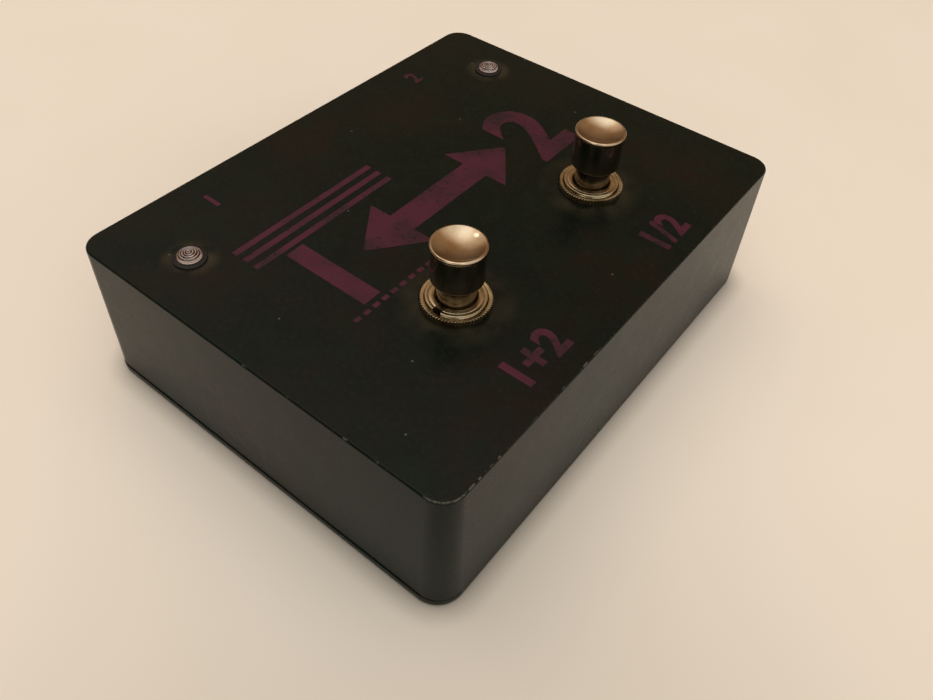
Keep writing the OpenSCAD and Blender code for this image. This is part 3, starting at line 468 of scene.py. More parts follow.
def moulded(name, look):
    # a moulded, dipped or extruded skin: slightly cloudy colour and a fine matt grain
    first, second, rough, cloudSize, grainSize = look
    material, tree, shader, place = newMaterial(name, {"IOR": 1.5})
    cloud = addNode(tree, "TexNoise", {"Vector": place, "Scale": perMm(cloudSize), "Detail": 3})
    colour = addNode(tree, "Mix", {
        0: cloud, 6: linear(first), 7: linear(second)}, **colourMix)
    grain = addNode(tree, "TexNoise", {"Vector": place, "Scale": perMm(grainSize), "Detail": 2})
    shine = addNode(tree, "MapRange", {"Value": grain, "To Min": rough - 0.08, "To Max": rough + 0.08})
    bump = addNode(tree, "Bump", {"Height": grain, "Strength": 0.2, "Distance": 0.02 * mm})
    connect(tree, shader, {"Base Color": colour, "Roughness": shine, "Normal": bump})
    return material


epoxyLook = {
    "tint": "#b04a44", "deep": "#96302c", "roughness": 0.15, "through": 0.5, "ior": 1.54,
    "haze": 1.5,  # in mm
}


def castEpoxy(look):
    # clear cast resin: a deep tint with a little haze inside
    material, tree, shader, place = newMaterial("redCastEpoxy", {
        "IOR": look["ior"], "Transmission Weight": look["through"]})
    haze = addNode(tree, "TexNoise", {"Vector": place, "Scale": perMm(look["haze"]), "Detail": 3})
    colour = addNode(tree, "Mix", {
        0: haze, 6: linear(look["tint"]), 7: linear(look["deep"])}, **colourMix)
    shine = addNode(tree, "MapRange", {
        "Value": haze, "To Min": look["roughness"], "To Max": look["roughness"] + 0.15})
    connect(tree, shader, {"Base Color": colour, "Roughness": shine})
    return material


lensLook = {
    # painted light on the ring crests and the dome's side, painted shade in the valleys and on the flange
    "paintedLensLight": "#e8cdc4", "valley": "#2e1914", "flange": "#0f0b08",
    "roughness": 0.06, "through": 0.15, "ior": 1.4,
    # in mm, as on the lens itself, but for the crest, which is a share of the pitch
    "dome": 2.4, "pitch": 0.48, "crest": 0.65, "band": 34.75, "bandEdge": 0.15, "haze": 1.5,
}


def ringedClear(look):
    # clear moulded polycarbonate: painted light on the crests of its rings and on the side of its dome, and
    # painted shade in the valleys and on the flange, which look down into the dark hole
    material, tree, shader, place = newMaterial("mouldedClearPolycarbonate", {
        "IOR": look["ior"], "Transmission Weight": look["through"]})
    half = mirroredPlace(tree, place)
    radius = addNode(tree, "VectorMath", {
        0: half, 1: [v * mm for v in (*layout["lamp"], 0)]}, out="Value", operation="DISTANCE")
    phase = addNode(tree, "Math", {0: radius, 1: look["pitch"] * mm}, operation="DIVIDE")
    phase = addNode(tree, "Math", {0: phase}, operation="FRACT")
    off = addNode(tree, "Math", {0: phase, 1: look["crest"]}, operation="SUBTRACT")
    off = addNode(tree, "Math", {0: off}, operation="ABSOLUTE")
    crest = addNode(tree, "MapRange", {
        "Value": off, "From Min": 0.05, "From Max": 0.24, "To Min": 1, "To Max": 0})
    haze = addNode(tree, "TexNoise", {"Vector": place, "Scale": perMm(look["haze"]), "Detail": 3})
    # this noise makes the painted light on the crests patchy
    worn = addNode(tree, "MapRange", {"Value": haze, "From Min": 0.35, "From Max": 0.65, "To Min": 0.3})
    crest = addNode(tree, "Math", {0: crest, 1: worn}, operation="MULTIPLY")
    colour = addNode(tree, "Mix", {
        0: crest, 6: linear(look["valley"]), 7: linear(look["paintedLensLight"])}, **colourMix)
    # painted light on the side of the dome
    side = addNode(tree, "Math", {0: radius, 1: (look["dome"] - 0.06) * mm}, operation="GREATER_THAN")
    colour = addNode(tree, "Mix", {0: side, 6: colour, 7: linear(look["paintedLensLight"])}, **colourMix)
    # painted shade on the flange, below the band
    height = addNode(tree, "SeparateXYZ", {0: place}, out="Z")
    below = addNode(tree, "MapRange", {
        "Value": height, "From Min": look["band"] * mm, "From Max": (look["band"] - look["bandEdge"]) * mm})
    colour = addNode(tree, "Mix", {0: below, 6: colour, 7: linear(look["flange"])}, **colourMix)
    shine = addNode(tree, "MapRange", {
        "Value": haze, "To Min": look["roughness"], "To Max": look["roughness"] + 0.12})
    shine = addNode(tree, "MapRange", {"Value": below, "To Min": shine, "To Max": 0.6})
    gloss = addNode(tree, "Math", {0: 1, 1: below}, operation="SUBTRACT")
    connect(tree, shader, {"Base Color": colour, "Roughness": shine, "Coat Weight": gloss})
    return material


finishes = {
    "stovedBlackPaint": stovedPaint(paintLook, "stovedBlackPaint", True),
    "stovedBlackLidPaint": stovedPaint(paintLook, "stovedBlackLidPaint", False),
    "screenPrintedPlumInk": screenInk(inkLook),
}
for name, look in platingLooks.items():
    finishes[name] = plating(name, look)
for name, look in mouldedLooks.items():
    finishes[name] = moulded(name, look)
finishes["redCastEpoxy"] = castEpoxy(epoxyLook)
finishes["mouldedClearPolycarbonate"] = ringedClear(lensLook)
print("materials made")

# finish of each material slot, which the CAD nodes that stay get too
slotFinish = {
    "box_paint": "stovedBlackPaint", "lid_paint": "stovedBlackLidPaint",
    "tinned_metal": "tinnedBrass", "washer_steel": "rolledZincSteel", "lock_washer_steel": "rolledZincSteel",
    "screw_steel": "rolledZincSteel", "frame_steel": "rolledZincSteel", "spring_steel": "springSteelWire",
    "spring_bronze": "rolledBronze", "nut_nickel": "turnedNickelPlate", "bushing_nickel": "turnedNickelPlate",
    "socket_nickel": "barrelNickelPlate", "cap_chrome": "wornChromePlate", "plunger_metal": "drawnStemPlate",
    "phenolic": "laminatedPhenolic", "inlet_plastic": "mouldedBlackNylon",
    "clip_plastic": "mouldedBlackNylon", "battery_jacket": "lacqueredSteelJacket",
    "snap_vinyl": "mouldedVinyl", "board_laminate": "maskedGlassLaminate",
    "resistor_coat": "dippedResistorCoat", "capacitor_sleeve": "shrunkSleeve", "wire_red": "redInsulation",
    "wire_yellow": "yellowInsulation", "wire_white": "whiteInsulation", "wire_black": "blackInsulation",
    "switch_plastic": "mouldedThermoset", "lens_clear": "mouldedClearPolycarbonate",
    "lamp_epoxy": "redCastEpoxy",
}
for part in frame["record"]["subparts"]:
    for holder in frame["nodes"][part["node"]].material_slots:
        holder.material = finishes[slotFinish[part["material_slot"]]]

# the box: a drafted shell drawn up from its rim, all in mm
shell = {
    "width": 119.5, "depth": 94, "corner": 5.6, "foot": 2.2, "top": layout["top"], "draft": 0.9, "edge": 0.5,
    "edgeSteps": 8, "innerEdge": 1, "innerSteps": 6, "wall": 2.2, "panel": 2.4,
    "seam": 0.25, "tightSeam": 0.04,
    "post": 4, "postSides": 48, "screw": 1.55, "screwDepth": 11.8, "screwSides": 32,
    "switchHole": 6.05, "lampHole": 3.25, "socketPitch": 32, "socketHeight": 17, "socketHole": 4.85,
    "inletFront": 0.5, "inletHole": 6.05,
    "past": 1,  # how far a drill runs past a face
}
wallRun = shell["top"] - shell["foot"] - shell["edge"]
lean = math.atan(shell["draft"] / wallRun)
cornerX = shell["width"] / 2 - shell["corner"]
cornerY = shell["depth"] / 2 - shell["corner"]
corners = [(sx * cornerX, sy * cornerY, 0) for sx in (-1, 1) for sy in (-1, 1)]
wallIn = shell["draft"] * (shell["socketHeight"] - shell["foot"]) / wallRun
rearFace = shell["depth"] / 2 - wallIn
rightFace = shell["width"] / 2 - wallIn
towardsRear = (lean - math.pi / 2, 0, 0)  # turns a piece's own axis square to the rear wall
towardsRight = (0, math.pi / 2 - lean, 0)


def closeFrontSeam(piece, height):
    # along the front the two halves meet with hardly a groove
    tight = shell["seam"] - shell["tightSeam"]
    line = shell["seam"] - shell["depth"] / 2
    editWhere(piece, lambda p: abs(p.z - height) < 2 * slack and abs(p.y - line) < 2 * slack)
    bpy.ops.transform.translate(value=(0, -tight * mm, 0))


def makeShell():
    s = shell
    width = s["width"] - 2 * s["seam"]
    depth = s["depth"] - 2 * s["seam"]
    box = roundedPlate("boxShell", width, depth, s["corner"] - s["seam"], s["foot"])
    bpy.ops.mesh.extrude_region_move(TRANSFORM_OT_translate={"value": (0, 0, s["seam"] * mm)})
    bpy.ops.transform.resize(value=(s["width"] / width, s["depth"] / depth, 1), center_override=(0, 0, 0))
    insetSteps([(s["draft"], wallRun - s["seam"])] + quarterRound(s["edge"], s["edgeSteps"]))
    # the rim turns in and the skin goes up again inside
    selectRim()
    bpy.ops.mesh.edge_face_add()
    editWhere(box, lambda p: p.z < s["foot"] + slack)
    bpy.ops.mesh.normals_make_consistent(inside=False)
    innerRise = s["top"] - s["panel"] - s["innerEdge"] - s["foot"]
    insetSteps([(s["wall"] - s["seam"], 0), (s["draft"] * innerRise / wallRun, -innerRise)])
    insetSteps([(inward, -rise) for inward, rise in quarterRound(s["innerEdge"], s["innerSteps"])])
    closeFrontSeam(box, s["foot"])
    cleanMesh(box)
    for sx in (-1, 1):
        for sy in (-1, 1):
            corner = (sx * cornerX, sy * cornerY, 0)
            post = rod("post", s["post"], s["foot"], s["top"] - s["panel"] / 2, s["postSides"])
            combine(box, settle(post, corner), "UNION")
            deep = s["foot"] + s["screwDepth"]
            hole = rod("hole", s["screw"], s["foot"] - s["past"], deep, s["screwSides"])
            combine(box, settle(hole, corner))
        for (x, y), radius in ((layout["switch"], s["switchHole"]), (layout["lamp"], s["lampHole"])):
            drill = rod("drill", radius, s["top"] - s["panel"] - s["past"], s["top"] + s["past"])
            combine(box, settle(drill, (sx * x, y, 0)))
    for place in (-1, 0, 1):
        drill = rod("drill", s["socketHole"], -s["wall"] - s["past"], s["past"])
        combine(box, settle(drill, (place * s["socketPitch"], rearFace, s["socketHeight"]), towardsRear))
    drill = rod("drill", s["inletHole"], -s["wall"] - s["past"], s["past"])
    combine(box, settle(drill, (rightFace, -s["inletFront"], s["socketHeight"]), towardsRight))
    cleanMesh(box)
    evenShade(box)
    dress(box, "pedal", "box_paint", "enclosure_body")


makeShell()
print("box shell made")

# the screwed lid under the box
lid = {"thick": 2.2, "edge": 0.8, "edgeSteps": 8, "over": 0.2, "rib": 1.6, "ribFit": 0.25, "ribSunk": 0.5,
       "ribRound": 0.2, "post": 4.4, "pass": 1.75, "sunk": 3.35, "sinkSides": 48}


def makeLid():
    # proud of the box at the sides and the rear, and level with it along the front
    over = lid["over"]
    thick = lid["thick"]
    seam = shell["seam"]
    plate = roundedPlate("lidPlate", shell["width"] + 2 * over, shell["depth"] + over, shell["corner"] + over,
                         lid["edge"], down=True)
    insetSteps(quarterRound(lid["edge"], lid["edgeSteps"]))
    # the rim goes up to the seam and turns in by the seam's chamfer
    selectRim()
    upright = thick - lid["edge"] - seam
    bpy.ops.mesh.extrude_edges_move(TRANSFORM_OT_translate={"value": (0, 0, upright * mm)})
    bpy.ops.mesh.edge_face_add()
    editWhere(plate, lambda p: p.z > thick - seam - slack)
    bpy.ops.mesh.normals_make_consistent(inside=False)
    insetSteps([(seam, seam)])
    settle(plate, (0, over / 2, 0))
    closeFrontSeam(plate, thick)
    cleanMesh(plate)
    # ribs that find their place inside the walls, between the posts
    ribX = shell["width"] / 2 - shell["wall"] - lid["ribFit"]
    ribY = shell["depth"] / 2 - shell["wall"] - lid["ribFit"]
    endX = cornerX - lid["post"]
    endY = cornerY - lid["post"]
    low = thick - lid["ribSunk"]
    high = thick + lid["rib"]
    for s in (-1, 1):
        inner, outer = sorted((s * ribY, s * (ribY - lid["rib"])))
        combine(plate, block("rib", (-endX, inner, low), (endX, outer, high), lid["ribRound"]), "UNION")
        inner, outer = sorted((s * ribX, s * (ribX - lid["rib"])))
        combine(plate, block("rib", (inner, -endY, low), (outer, endY, high), lid["ribRound"]), "UNION")
    past = shell["past"]
    sinkLine = [(lid["sunk"] + past, -past), (lid["pass"], lid["sunk"] - lid["pass"]),
                (lid["pass"], thick + past)]
    for corner in corners:
        combine(plate, settle(turned("sink", sinkLine, lid["sinkSides"], solid=True), corner))
    cleanMesh(plate)
    evenShade(plate)
    dress(plate, "pedal", "lid_paint", "bottom_lid")


makeLid()
print("lid made")

# countersunk cross-slot screws, turned once and copied
screw = {"sides": 40, "head": 3.15, "rim": 0.1, "shank": 1.5, "sunk": 0.1, "long": 12,
         "pitch": 0.5, "cut": 0.2, "pointLong": 0.6, "pointIn": 0.5,
         "slotWide": 0.8, "slotDeep": 0.9, "slotLong": 3.78,
         "turns": [0.3, 1.1, 0.7, 1.9]}  # no two stop at the same angle


def threadProfile(radius, start, end, pitch, depth):
    # crest and root in turn, up or down the shank
    count = int(abs(end - start) / pitch)
    step = (end - start) / count
    line = []
    for i in range(count):
        line += [(radius, start + i * step), (radius - depth, start + (i + 0.5) * step)]
    return line + [(radius, end)]


def makeScrews():
    c = screw
    top = c["sunk"] + c["long"]
    neck = c["sunk"] + c["head"] - c["shank"]
    profile = [(c["head"] - c["rim"], c["sunk"]), (c["head"], c["sunk"] + c["rim"])]
    profile += threadProfile(c["shank"], neck, top - c["pointLong"], c["pitch"], c["cut"])
    profile += [(c["shank"] - c["pointIn"], top)]
    first = turned("lidScrew", profile, c["sides"], solid=True)
    for along, across in ((c["slotLong"], c["slotWide"]), (c["slotWide"], c["slotLong"])):
        low = (-along / 2, -across / 2, c["sunk"] - shell["past"])
        high = (along / 2, across / 2, c["sunk"] + c["slotDeep"])
        combine(first, block("slot", low, high))
    cleanMesh(first, angle=30)
    screws = [settle(copied(first, "screw"), corner, (0, 0, turn))
              for corner, turn in zip(corners, c["turns"])]
    discard(first)
    dress(joined("lidScrews", *screws), "pedal", "screw_steel", "lid_screws")


makeScrews()
print("lid screws made")

# footswitches: heights are above the underside of the lid
footswitch = {
    "x": layout["switch"][0], "y": layout["switch"][1],
    "capFoot": 5.05, "cap": 5.25, "capLow": 40.6, "capHigh": 48.39, "rim": 0.36, "rimTurn": 122, "dish": 1.1,
    "flareSteps": 6, "rimSteps": 14, "dishSteps": 15, "capBore": 3.77, "capBoreTop": 45.6, "capChamfer": 0.2,
    "stem": 3.75, "stemRound": 0.2, "spigot": 2.2, "spigotLow": 28.05,
    "collar": 4.87, "collarRound": 0.15, "collarLow": 31.95, "collarHigh": 33.35,
    "bushing": 5.9, "bushingLow": 26.7, "bushingHigh": 36.2, "chamber": 4.95, "chamberTop": 33.4,
    "bore": 3.83, "mouth": 4.2, "mouthDeep": 0.3, "mouthCurve": (0.12, 0.06),
    "round": 0.2, "roundSteps": 5, "threadFrom": 0.1,
    "pitch": 0.75, "cut": 0.32, "keyWide": 1.8, "keyIn": 5.0,
    "turnedLine": 5.15, "lineHalf": 0.08, "lineDeep": 0.05,
    "nut": 7.0, "nutHigh": 35.7, "footRadius": 6.5, "footHigh": 34.5, "nutBore": 5.95,
    "teeth": 70, "toothDeep": 0.45,
    "crown": [(0, 0.32), (0.05, 0.17), (0.13, 0.06), (0.24, 0)],  # inwards and down from the nut's top edge
    "nutMouth": [(0.18, 0), (0.06, 0.05), (0, 0.16)],  # outwards and down from the edge of its bore
}


def makeCap():
    f = footswitch
    foot = f["capFoot"]
    low = f["capLow"]
    high = f["capHigh"]
    rim = f["rim"]
    middle = f["cap"] - rim
    turn = math.radians(f["rimTurn"])
    hollow = middle + rim * math.cos(turn)
    drop = f["dish"] - rim + rim * math.sin(turn)
    sphere = (hollow * hollow / drop + drop) / 2
    half = math.asin(hollow / sphere)
    flare = f["cap"] - foot
    profile = [(f["capBore"], f["capBoreTop"]), (f["capBore"], low + f["capChamfer"]),
               (f["capBore"] + f["capChamfer"], low),
               (foot - softFar, low), (foot - softNear, low + softNear), (foot, low + softFar)]
    for i in range(f["flareSteps"] + 1):  # the straight wall swells out under the rim
        a = math.pi * i / f["flareSteps"]
        under = rim * (3 - 2 * i / f["flareSteps"])
        profile.append((foot + flare * (1 - math.cos(a)) / 2, high - under))
    for i in range(1, f["rimSteps"] + 1):  # the rolled rim
        a = turn * i / f["rimSteps"]
        profile.append((middle + rim * math.cos(a), high - rim + rim * math.sin(a)))
    for i in range(1, f["dishSteps"]):  # the hollow that takes the sole of a shoe
        a = half * (1 - i / f["dishSteps"])
        profile.append((sphere * math.sin(a), high - f["dish"] + sphere * (1 - math.cos(a))))
    return turned("cap", profile, solid=True)


def makeStem():
    f = footswitch
    r = f["stemRound"]
    collar = f["collar"]
    c = f["collarRound"]
    return turned("stem", [
        (f["spigot"] - r, f["spigotLow"]), (f["spigot"], f["spigotLow"] + r), (f["spigot"], f["collarLow"]),
        (collar - c, f["collarLow"]), (collar, f["collarLow"] + c),
        (collar, f["collarHigh"] - c), (collar - c, f["collarHigh"]), (f["stem"], f["collarHigh"]),
        (f["stem"], f["capBoreTop"] - r), (f["stem"] - r, f["capBoreTop"]),
    ], solid=True)


def makeBushing():
    f = footswitch
    high = f["bushingHigh"]
    line = f["turnedLine"]
    profile = [(f["chamber"], f["bushingLow"])]
    start = f["bushingLow"] + f["threadFrom"]
    profile += threadProfile(f["bushing"], start, high - f["round"], f["pitch"], f["cut"])
    for inward, rise in quarterRound(f["round"], f["roundSteps"]):
        profile.append((profile[-1][0] - inward, profile[-1][1] + rise))
    inward, down = f["mouthCurve"]
    profile += [(line + f["lineHalf"], high), (line, high - f["lineDeep"]), (line - f["lineHalf"], high),
                (f["mouth"], high), (f["mouth"] - inward, high - down), (f["bore"], high - f["mouthDeep"]),
                (f["bore"], f["chamberTop"]), (f["chamber"], f["chamberTop"]),
                (f["chamber"], f["bushingLow"])]
    piece = turned("bushing", profile)
    keyway = block("keyway", (-f["bushing"] - shell["past"], -f["keyWide"] / 2, f["chamberTop"]),
                   (-f["keyIn"], f["keyWide"] / 2, high + shell["past"]))
    combine(piece, keyway)
    cleanMesh(piece)
    evenShade(piece)
    return piece


def makeKnurledNut():
    f = footswitch
    tip = f["nut"]
    low = layout["top"]
    high = f["nutHigh"]
    foot = f["footRadius"]
    bore = f["nutBore"]
    crown = [(tip - inward, high - down) for inward, down in f["crown"]]
    mouth = [(bore + outward, high - down) for outward, down in f["nutMouth"]]
    piece = turned("knurledNut", [
        (bore, low), (foot - softFar, low), (foot, low + softFar), (foot, f["footHigh"]),
        (tip, f["footHigh"]), *crown, *mouth, (bore, low),
    ], 2 * f["teeth"])
    # every second upright line of the knurl is pressed in to one depth, through the crown too
    step = math.pi / f["teeth"]
    for radius, _ in crown:
        editWhere(piece, lambda p: (
            abs(p.xy.length - radius) < slack and round(math.atan2(p.y, p.x) / step) % 2 == 1))
        share = (tip - f["toothDeep"]) / radius
        bpy.ops.transform.resize(value=(share, share, 1), center_override=(0, 0, 0))
    cleanMesh(piece, angle=25)
    return piece


def makeFootswitches():
    f = footswitch
    turns = {"left": 0, "right": math.pi}  # the keyways look away from each other
    kinds = [("cap", makeCap(), "cap_chrome"), ("plunger", makeStem(), "plunger_metal"),
             ("bushing", makeBushing(), "bushing_nickel"), ("knurled_nut", makeKnurledNut(), "nut_nickel")]
    for kind, first, slot in kinds:
        for side, sign in sides.items():
            name = side + kind.title().replace("_", "")
            piece = settle(copied(first, name), (sign * f["x"], f["y"], 0), (0, 0, turns[side]))
            body = side + "_button" if kind in ("cap", "plunger") else "pedal"
            dress(piece, body, slot, side + "_switch_" + kind)
        discard(first)


makeFootswitches()
print("footswitches made")

# return springs, which shorten as the button goes down
spring = {"coil": 4.25, "wire": 0.35, "sides": 12, "turns": 6, "steps": 36, "travel": 3.2}


def makeSprings():
    s = spring
    low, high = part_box("left_switch_spring")
    long = high[2] - low[2]
    deselectAll()
    bpy.ops.mesh.primitive_circle_add(
        vertices=s["sides"], radius=s["wire"] * mm, location=(s["coil"] * mm, 0, low[2] + s["wire"] * mm),
        rotation=(math.pi / 2, 0, 0))
    applyPlace()
    first = bpy.context.object
    winding = first.modifiers.new("winding", "SCREW")
    winding.screw_offset = (long - 2 * s["wire"] * mm) / s["turns"]
    winding.iterations = s["turns"]
    winding.steps = s["steps"]
    winding.render_steps = s["steps"]
    bpy.ops.object.modifier_apply(modifier="winding")
    editAll()
    selectRim()
    bpy.ops.mesh.fill_holes(sides=0)
    cleanMesh(first)
    for side, sign in sides.items():
        x = sign * footswitch["x"]
        piece = settle(copied(first, side + "ReturnSpring"), (x, footswitch["y"], 0))
        dress(piece, "pedal", "spring_steel", side + "_switch_spring")
        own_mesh(piece)
    discard(first)


makeSprings()
print("return springs made")

# ringed lenses over the lamps
lens = {"sides": 64, "hollow": 1.55, "barrel": 3.1, "deep": 5.4, "skin": 0.5, "radius": 3.3, "flange": 0.45,
        "dome": 2.4, "edge": 1.05, "rise": 1.8, "rings": 5, "ringDeep": 0.2, "axis": 0.02,
        # shares of the space between two rings, and of the depth of a ring
        "crest": 0.35, "crestHalf": 0.08, "valley": 0.06, "crestSunk": 0.03}


def makeLenses():
    n = lens
    x, y = layout["lamp"]
    wide = n["radius"]
    flange = n["flange"]
    dome = n["dome"]
    pitch = dome / n["rings"]
    profile = [(n["hollow"], -n["skin"]), (n["hollow"], -n["deep"]), (n["barrel"], -n["deep"]),
               (n["barrel"], 0), (wide, 0), (wide, flange - softFar), (wide - softNear, flange - softNear),
               (wide - softFar, flange), (dome + softFar, flange), (dome + softNear, flange + softNear),
               (dome, flange + softFar), (dome, n["edge"] - n["ringDeep"])]
    for i in range(n["rings"], 0, -1):  # rings moulded on a low dome, each steep outside and gentle inside
        outer = (i - n["crest"] + n["crestHalf"], n["crestSunk"])
        inner = (i - n["crest"] - n["crestHalf"], 0)
        for share, sunk in (outer, inner, (i - 1 + n["valley"], 1), (i - 1, 1)):
            radius = max(share * pitch, n["axis"])
            level = n["rise"] - (n["rise"] - n["edge"]) * (radius / dome) ** 2
            profile.append((radius, level - n["ringDeep"] * sunk))
    first = turned("lens", profile, n["sides"], solid=True)
    for side, sign in sides.items():
        piece = settle(copied(first, side + "LampLens"), (sign * x, y, layout["top"]))
        evenShade(piece, angle=30)
        dress(piece, "pedal", "lens_clear", side + "_lamp_lens")
    discard(first)


makeLenses()
print("lamp lenses made")

# quarter-inch sockets on the rear wall; heights run outwards from the wall's face
socket = {
    "sides": 72, "back": -4.0, "front": 5.0, "bore": 3.25, "thread": 4.7, "shoulder": 7.4,
    "shoulderThick": 1.2, "round": 0.15, "pitch": 0.75, "cut": 0.3,
    "armWide": 8, "armThick": 1, "armLong": 14,
    "noseLong": 0.45, "nose": [(0.4, 0.05), (0.5, 0)],  # inwards from the thread and down from the front
    "mouth": [(0.4, 0), (0.25, 0.06), (0, 0.4)],  # outwards from the bore and down from the front
    "washer": 7.0, "washerThick": 0.8, "washerEdge": 0.2, "washerSoft": 0.06,
    "fit": 4.75, "flats": 12.7, "nutThick": 2.4, "nutChamfer": 0.6, "nutRound": 0.08,
    "nutPast": 0.05, "nutMouth": 0.7, "nutMouthIn": 0.4, "nutMouthOut": 0.3,
    "turns": {"left": 0.2, "centre": 0.75, "right": 0.45},  # the nuts stop at different angles
}


def makeSleeve():
    k = socket
    r = k["round"]
    back = k["back"]
    front = k["front"]
    step = back + k["shoulderThick"]
    profile = [(k["bore"], back), (k["shoulder"] - r, back), (k["shoulder"], back + r),
               (k["shoulder"], step - r), (k["shoulder"] - r, step)]
    profile += threadProfile(k["thread"], step, front - k["noseLong"], k["pitch"], k["cut"])
    profile += [(k["thread"] - inward, front - down) for inward, down in k["nose"]]
    profile += [(k["bore"] + outward, front - down) for outward, down in k["mouth"]]
    profile += [(k["bore"], back)]
    piece = turned("sleeve", profile, k["sides"])
    # the frame's arm runs inwards below the plug
    arm = block("arm", (-k["armWide"] / 2, k["shoulder"] - k["armThick"], back - k["armLong"]),
                (k["armWide"] / 2, k["shoulder"], step), r)
    combine(piece, arm, "UNION")
    cleanMesh(piece, angle=40)
    return piece


def makeSocketNut():
    k = socket
    low = k["washerThick"]
    high = low + k["nutThick"]
    bore = k["fit"]
    chamfer = k["nutChamfer"]
    corner = k["flats"] / 2 / math.cos(math.pi / 6)
    piece = rod("hexNut", corner, low, high, 6)
    past = corner + k["nutPast"]
    lathe = turned("chamfers", [
        (corner - chamfer, low), (past, low + chamfer / 2), (past, high - chamfer / 2),
        (corner - chamfer, high)], solid=True)
    combine(piece, lathe, "INTERSECT")
    mouth = bore + k["nutMouth"]
    hole = turned("hole", [
        (mouth, low - k["nutMouthOut"]), (bore, low + k["nutMouthIn"]),
        (bore, high - k["nutMouthIn"]), (mouth, high + k["nutMouthOut"]),
    ], k["sides"], solid=True)
    combine(piece, hole)
    cleanMesh(piece, angle=20)
    pick(piece)
    change = piece.modifiers.new("soften", "BEVEL")
    change.width = k["nutRound"] * mm
    change.segments = 2
    change.limit_method = "ANGLE"
    change.angle_limit = math.radians(25)
    bpy.ops.object.modifier_apply(modifier=change.name)
    evenShade(piece, angle=40)
    return piece


def makeSocketWasher():
    k = socket
    wide = k["washer"]
    thick = k["washerThick"]
    edge = k["washerEdge"]
    soft = k["washerSoft"]
    return turned("washer", [
        (k["fit"], 0), (wide - softFar, 0), (wide, softFar), (wide, thick - edge),
        (wide - soft, thick - soft), (wide - edge, thick), (k["fit"], thick), (k["fit"], 0)], k["sides"])


def makeSockets():
    sleeve = makeSleeve()
    nut = makeSocketNut()
    washer = makeSocketWasher()
    washers = []
    for place, side in ((-1, "left"), (0, "centre"), (1, "right")):
        spot = (place * shell["socketPitch"], rearFace, shell["socketHeight"])
        piece = settle(copied(sleeve, side + "SocketSleeve"), spot, towardsRear)
        dress(piece, "pedal", "socket_nickel", side + "_socket_sleeve")
        piece = settle(copied(nut, side + "SocketNut"), (0, 0, 0), (0, 0, socket["turns"][side]))
        settle(piece, spot, towardsRear)
        dress(piece, "pedal", "nut_nickel", side + "_socket_nut", finish="barrelNickelPlate")
        washers.append(settle(copied(washer, "socketWasher"), spot, towardsRear))
    dress(joined("socketWashers", *washers), "pedal", "washer_steel", "socket_washers")
    discard(sleeve, nut, washer)


makeSockets()
print("sockets made")

# barrel power inlet on the right wall; heights run outwards from the wall's face
inlet = {"sides": 72, "flange": 7, "flangeThick": 1.8, "thread": 5.9, "pitch": 1, "cut": 0.35,
         "threadLong": 9, "body": 4.6, "bodyLong": 14, "bodyRound": 0.3, "bore": 2.85, "boreDeep": 11,
         "pin": 1.05, "pinLong": 9, "pinSides": 32, "tipSteps": 8,
         # outwards from the bore and down from the face, with a shallow ring groove
         "faceLine": [(0, 0.4), (0.12, 0.12), (0.4, 0), (1.5, 0), (1.6, 0.15), (2.4, 0.15), (2.5, 0)],
         # inwards from the flange's edge and down from the face
         "rimLine": [(0.6, 0), (0.25, 0.1), (0.06, 0.35), (0, 0.7)]}


def makeInlet():
    n = inlet
    face = n["flangeThick"]
    bore = n["bore"]
    flange = n["flange"]
    spot = (rightFace, -shell["inletFront"], shell["socketHeight"])
    profile = [(bore, face - n["boreDeep"])]
    profile += [(bore + outward, face - down) for outward, down in n["faceLine"]]
    profile += [(flange - inward, face - down) for inward, down in n["rimLine"]]
    profile += [(flange, 0)]
    profile += threadProfile(n["thread"], 0, -n["threadLong"], n["pitch"], n["cut"])
    profile += [(n["body"], -n["threadLong"]), (n["body"], n["bodyRound"] - n["bodyLong"]),
                (n["body"] - n["bodyRound"], -n["bodyLong"])]
    housing = settle(turned("inletHousing", profile, n["sides"], solid=True), spot, towardsRight)
    dress(housing, "pedal", "inlet_plastic", "power_inlet_housing")
    tip = face - n["boreDeep"] + n["pinLong"]
    profile = [(n["pin"], face - n["boreDeep"]), (n["pin"], tip - n["pin"])]
    for i in range(1, n["tipSteps"]):  # rounded tip
        a = math.pi / 2 * i / n["tipSteps"]
        profile.append((n["pin"] * math.cos(a), tip - n["pin"] + n["pin"] * math.sin(a)))
    pin = settle(turned("inletPin", profile, n["pinSides"], solid=True), spot, towardsRight)
    dress(pin, "pedal", "tinned_metal", "power_inlet_pin")


makeInlet()
print("power inlet made")

# plain print on the top face: numbers, an arrow, stripes and dashes, in mm
prints = {
    "thick": 0.03, "figureShare": 0.69,  # figures of the built-in face are this share of its size
    "numbers": [
        # text, middle, height of the figures, boldness, squeeze
        ("1", (-32.5, 3.4), 19, 0.85, 1.0),
        ("2", (31.5, 3.4), 19, 0.85, 1.0),
        ("1+2", (-24, -38), 6.6, 0.32, 1.0),
        ("1/2", (21.5, -38.7), 6.6, 0.32, 0.95),
        ("1", (-33, 37.2), 4.2, 0.2, 1.0),
        ("2", (31.5, 38.2), 4.2, 0.2, 1.0),
    ],
    "arrow": {"middle": (-0.5, 3.4), "long": 46, "bar": 6.4, "head": 17, "headLong": 11,
              "step": 0.05, "blunt": 0.04},  # the blunt end is a share of the head
    "stripes": [((-41, 20.6), (-3, 22)), ((-41, 17.6), (-3, 19)), ((-41, 14.6), (-3, 16))],
    "dashes": {"from": (-39, -9), "count": 11, "wide": 1.5, "high": 1, "pitch": 2.5},
}


def flatPrint(name, piece):
    piece.name = name
    cleanMesh(piece)
    piece.data.materials.clear()
    piece.data.materials.append(finishes["screenPrintedPlumInk"])
    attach(piece, "pedal")


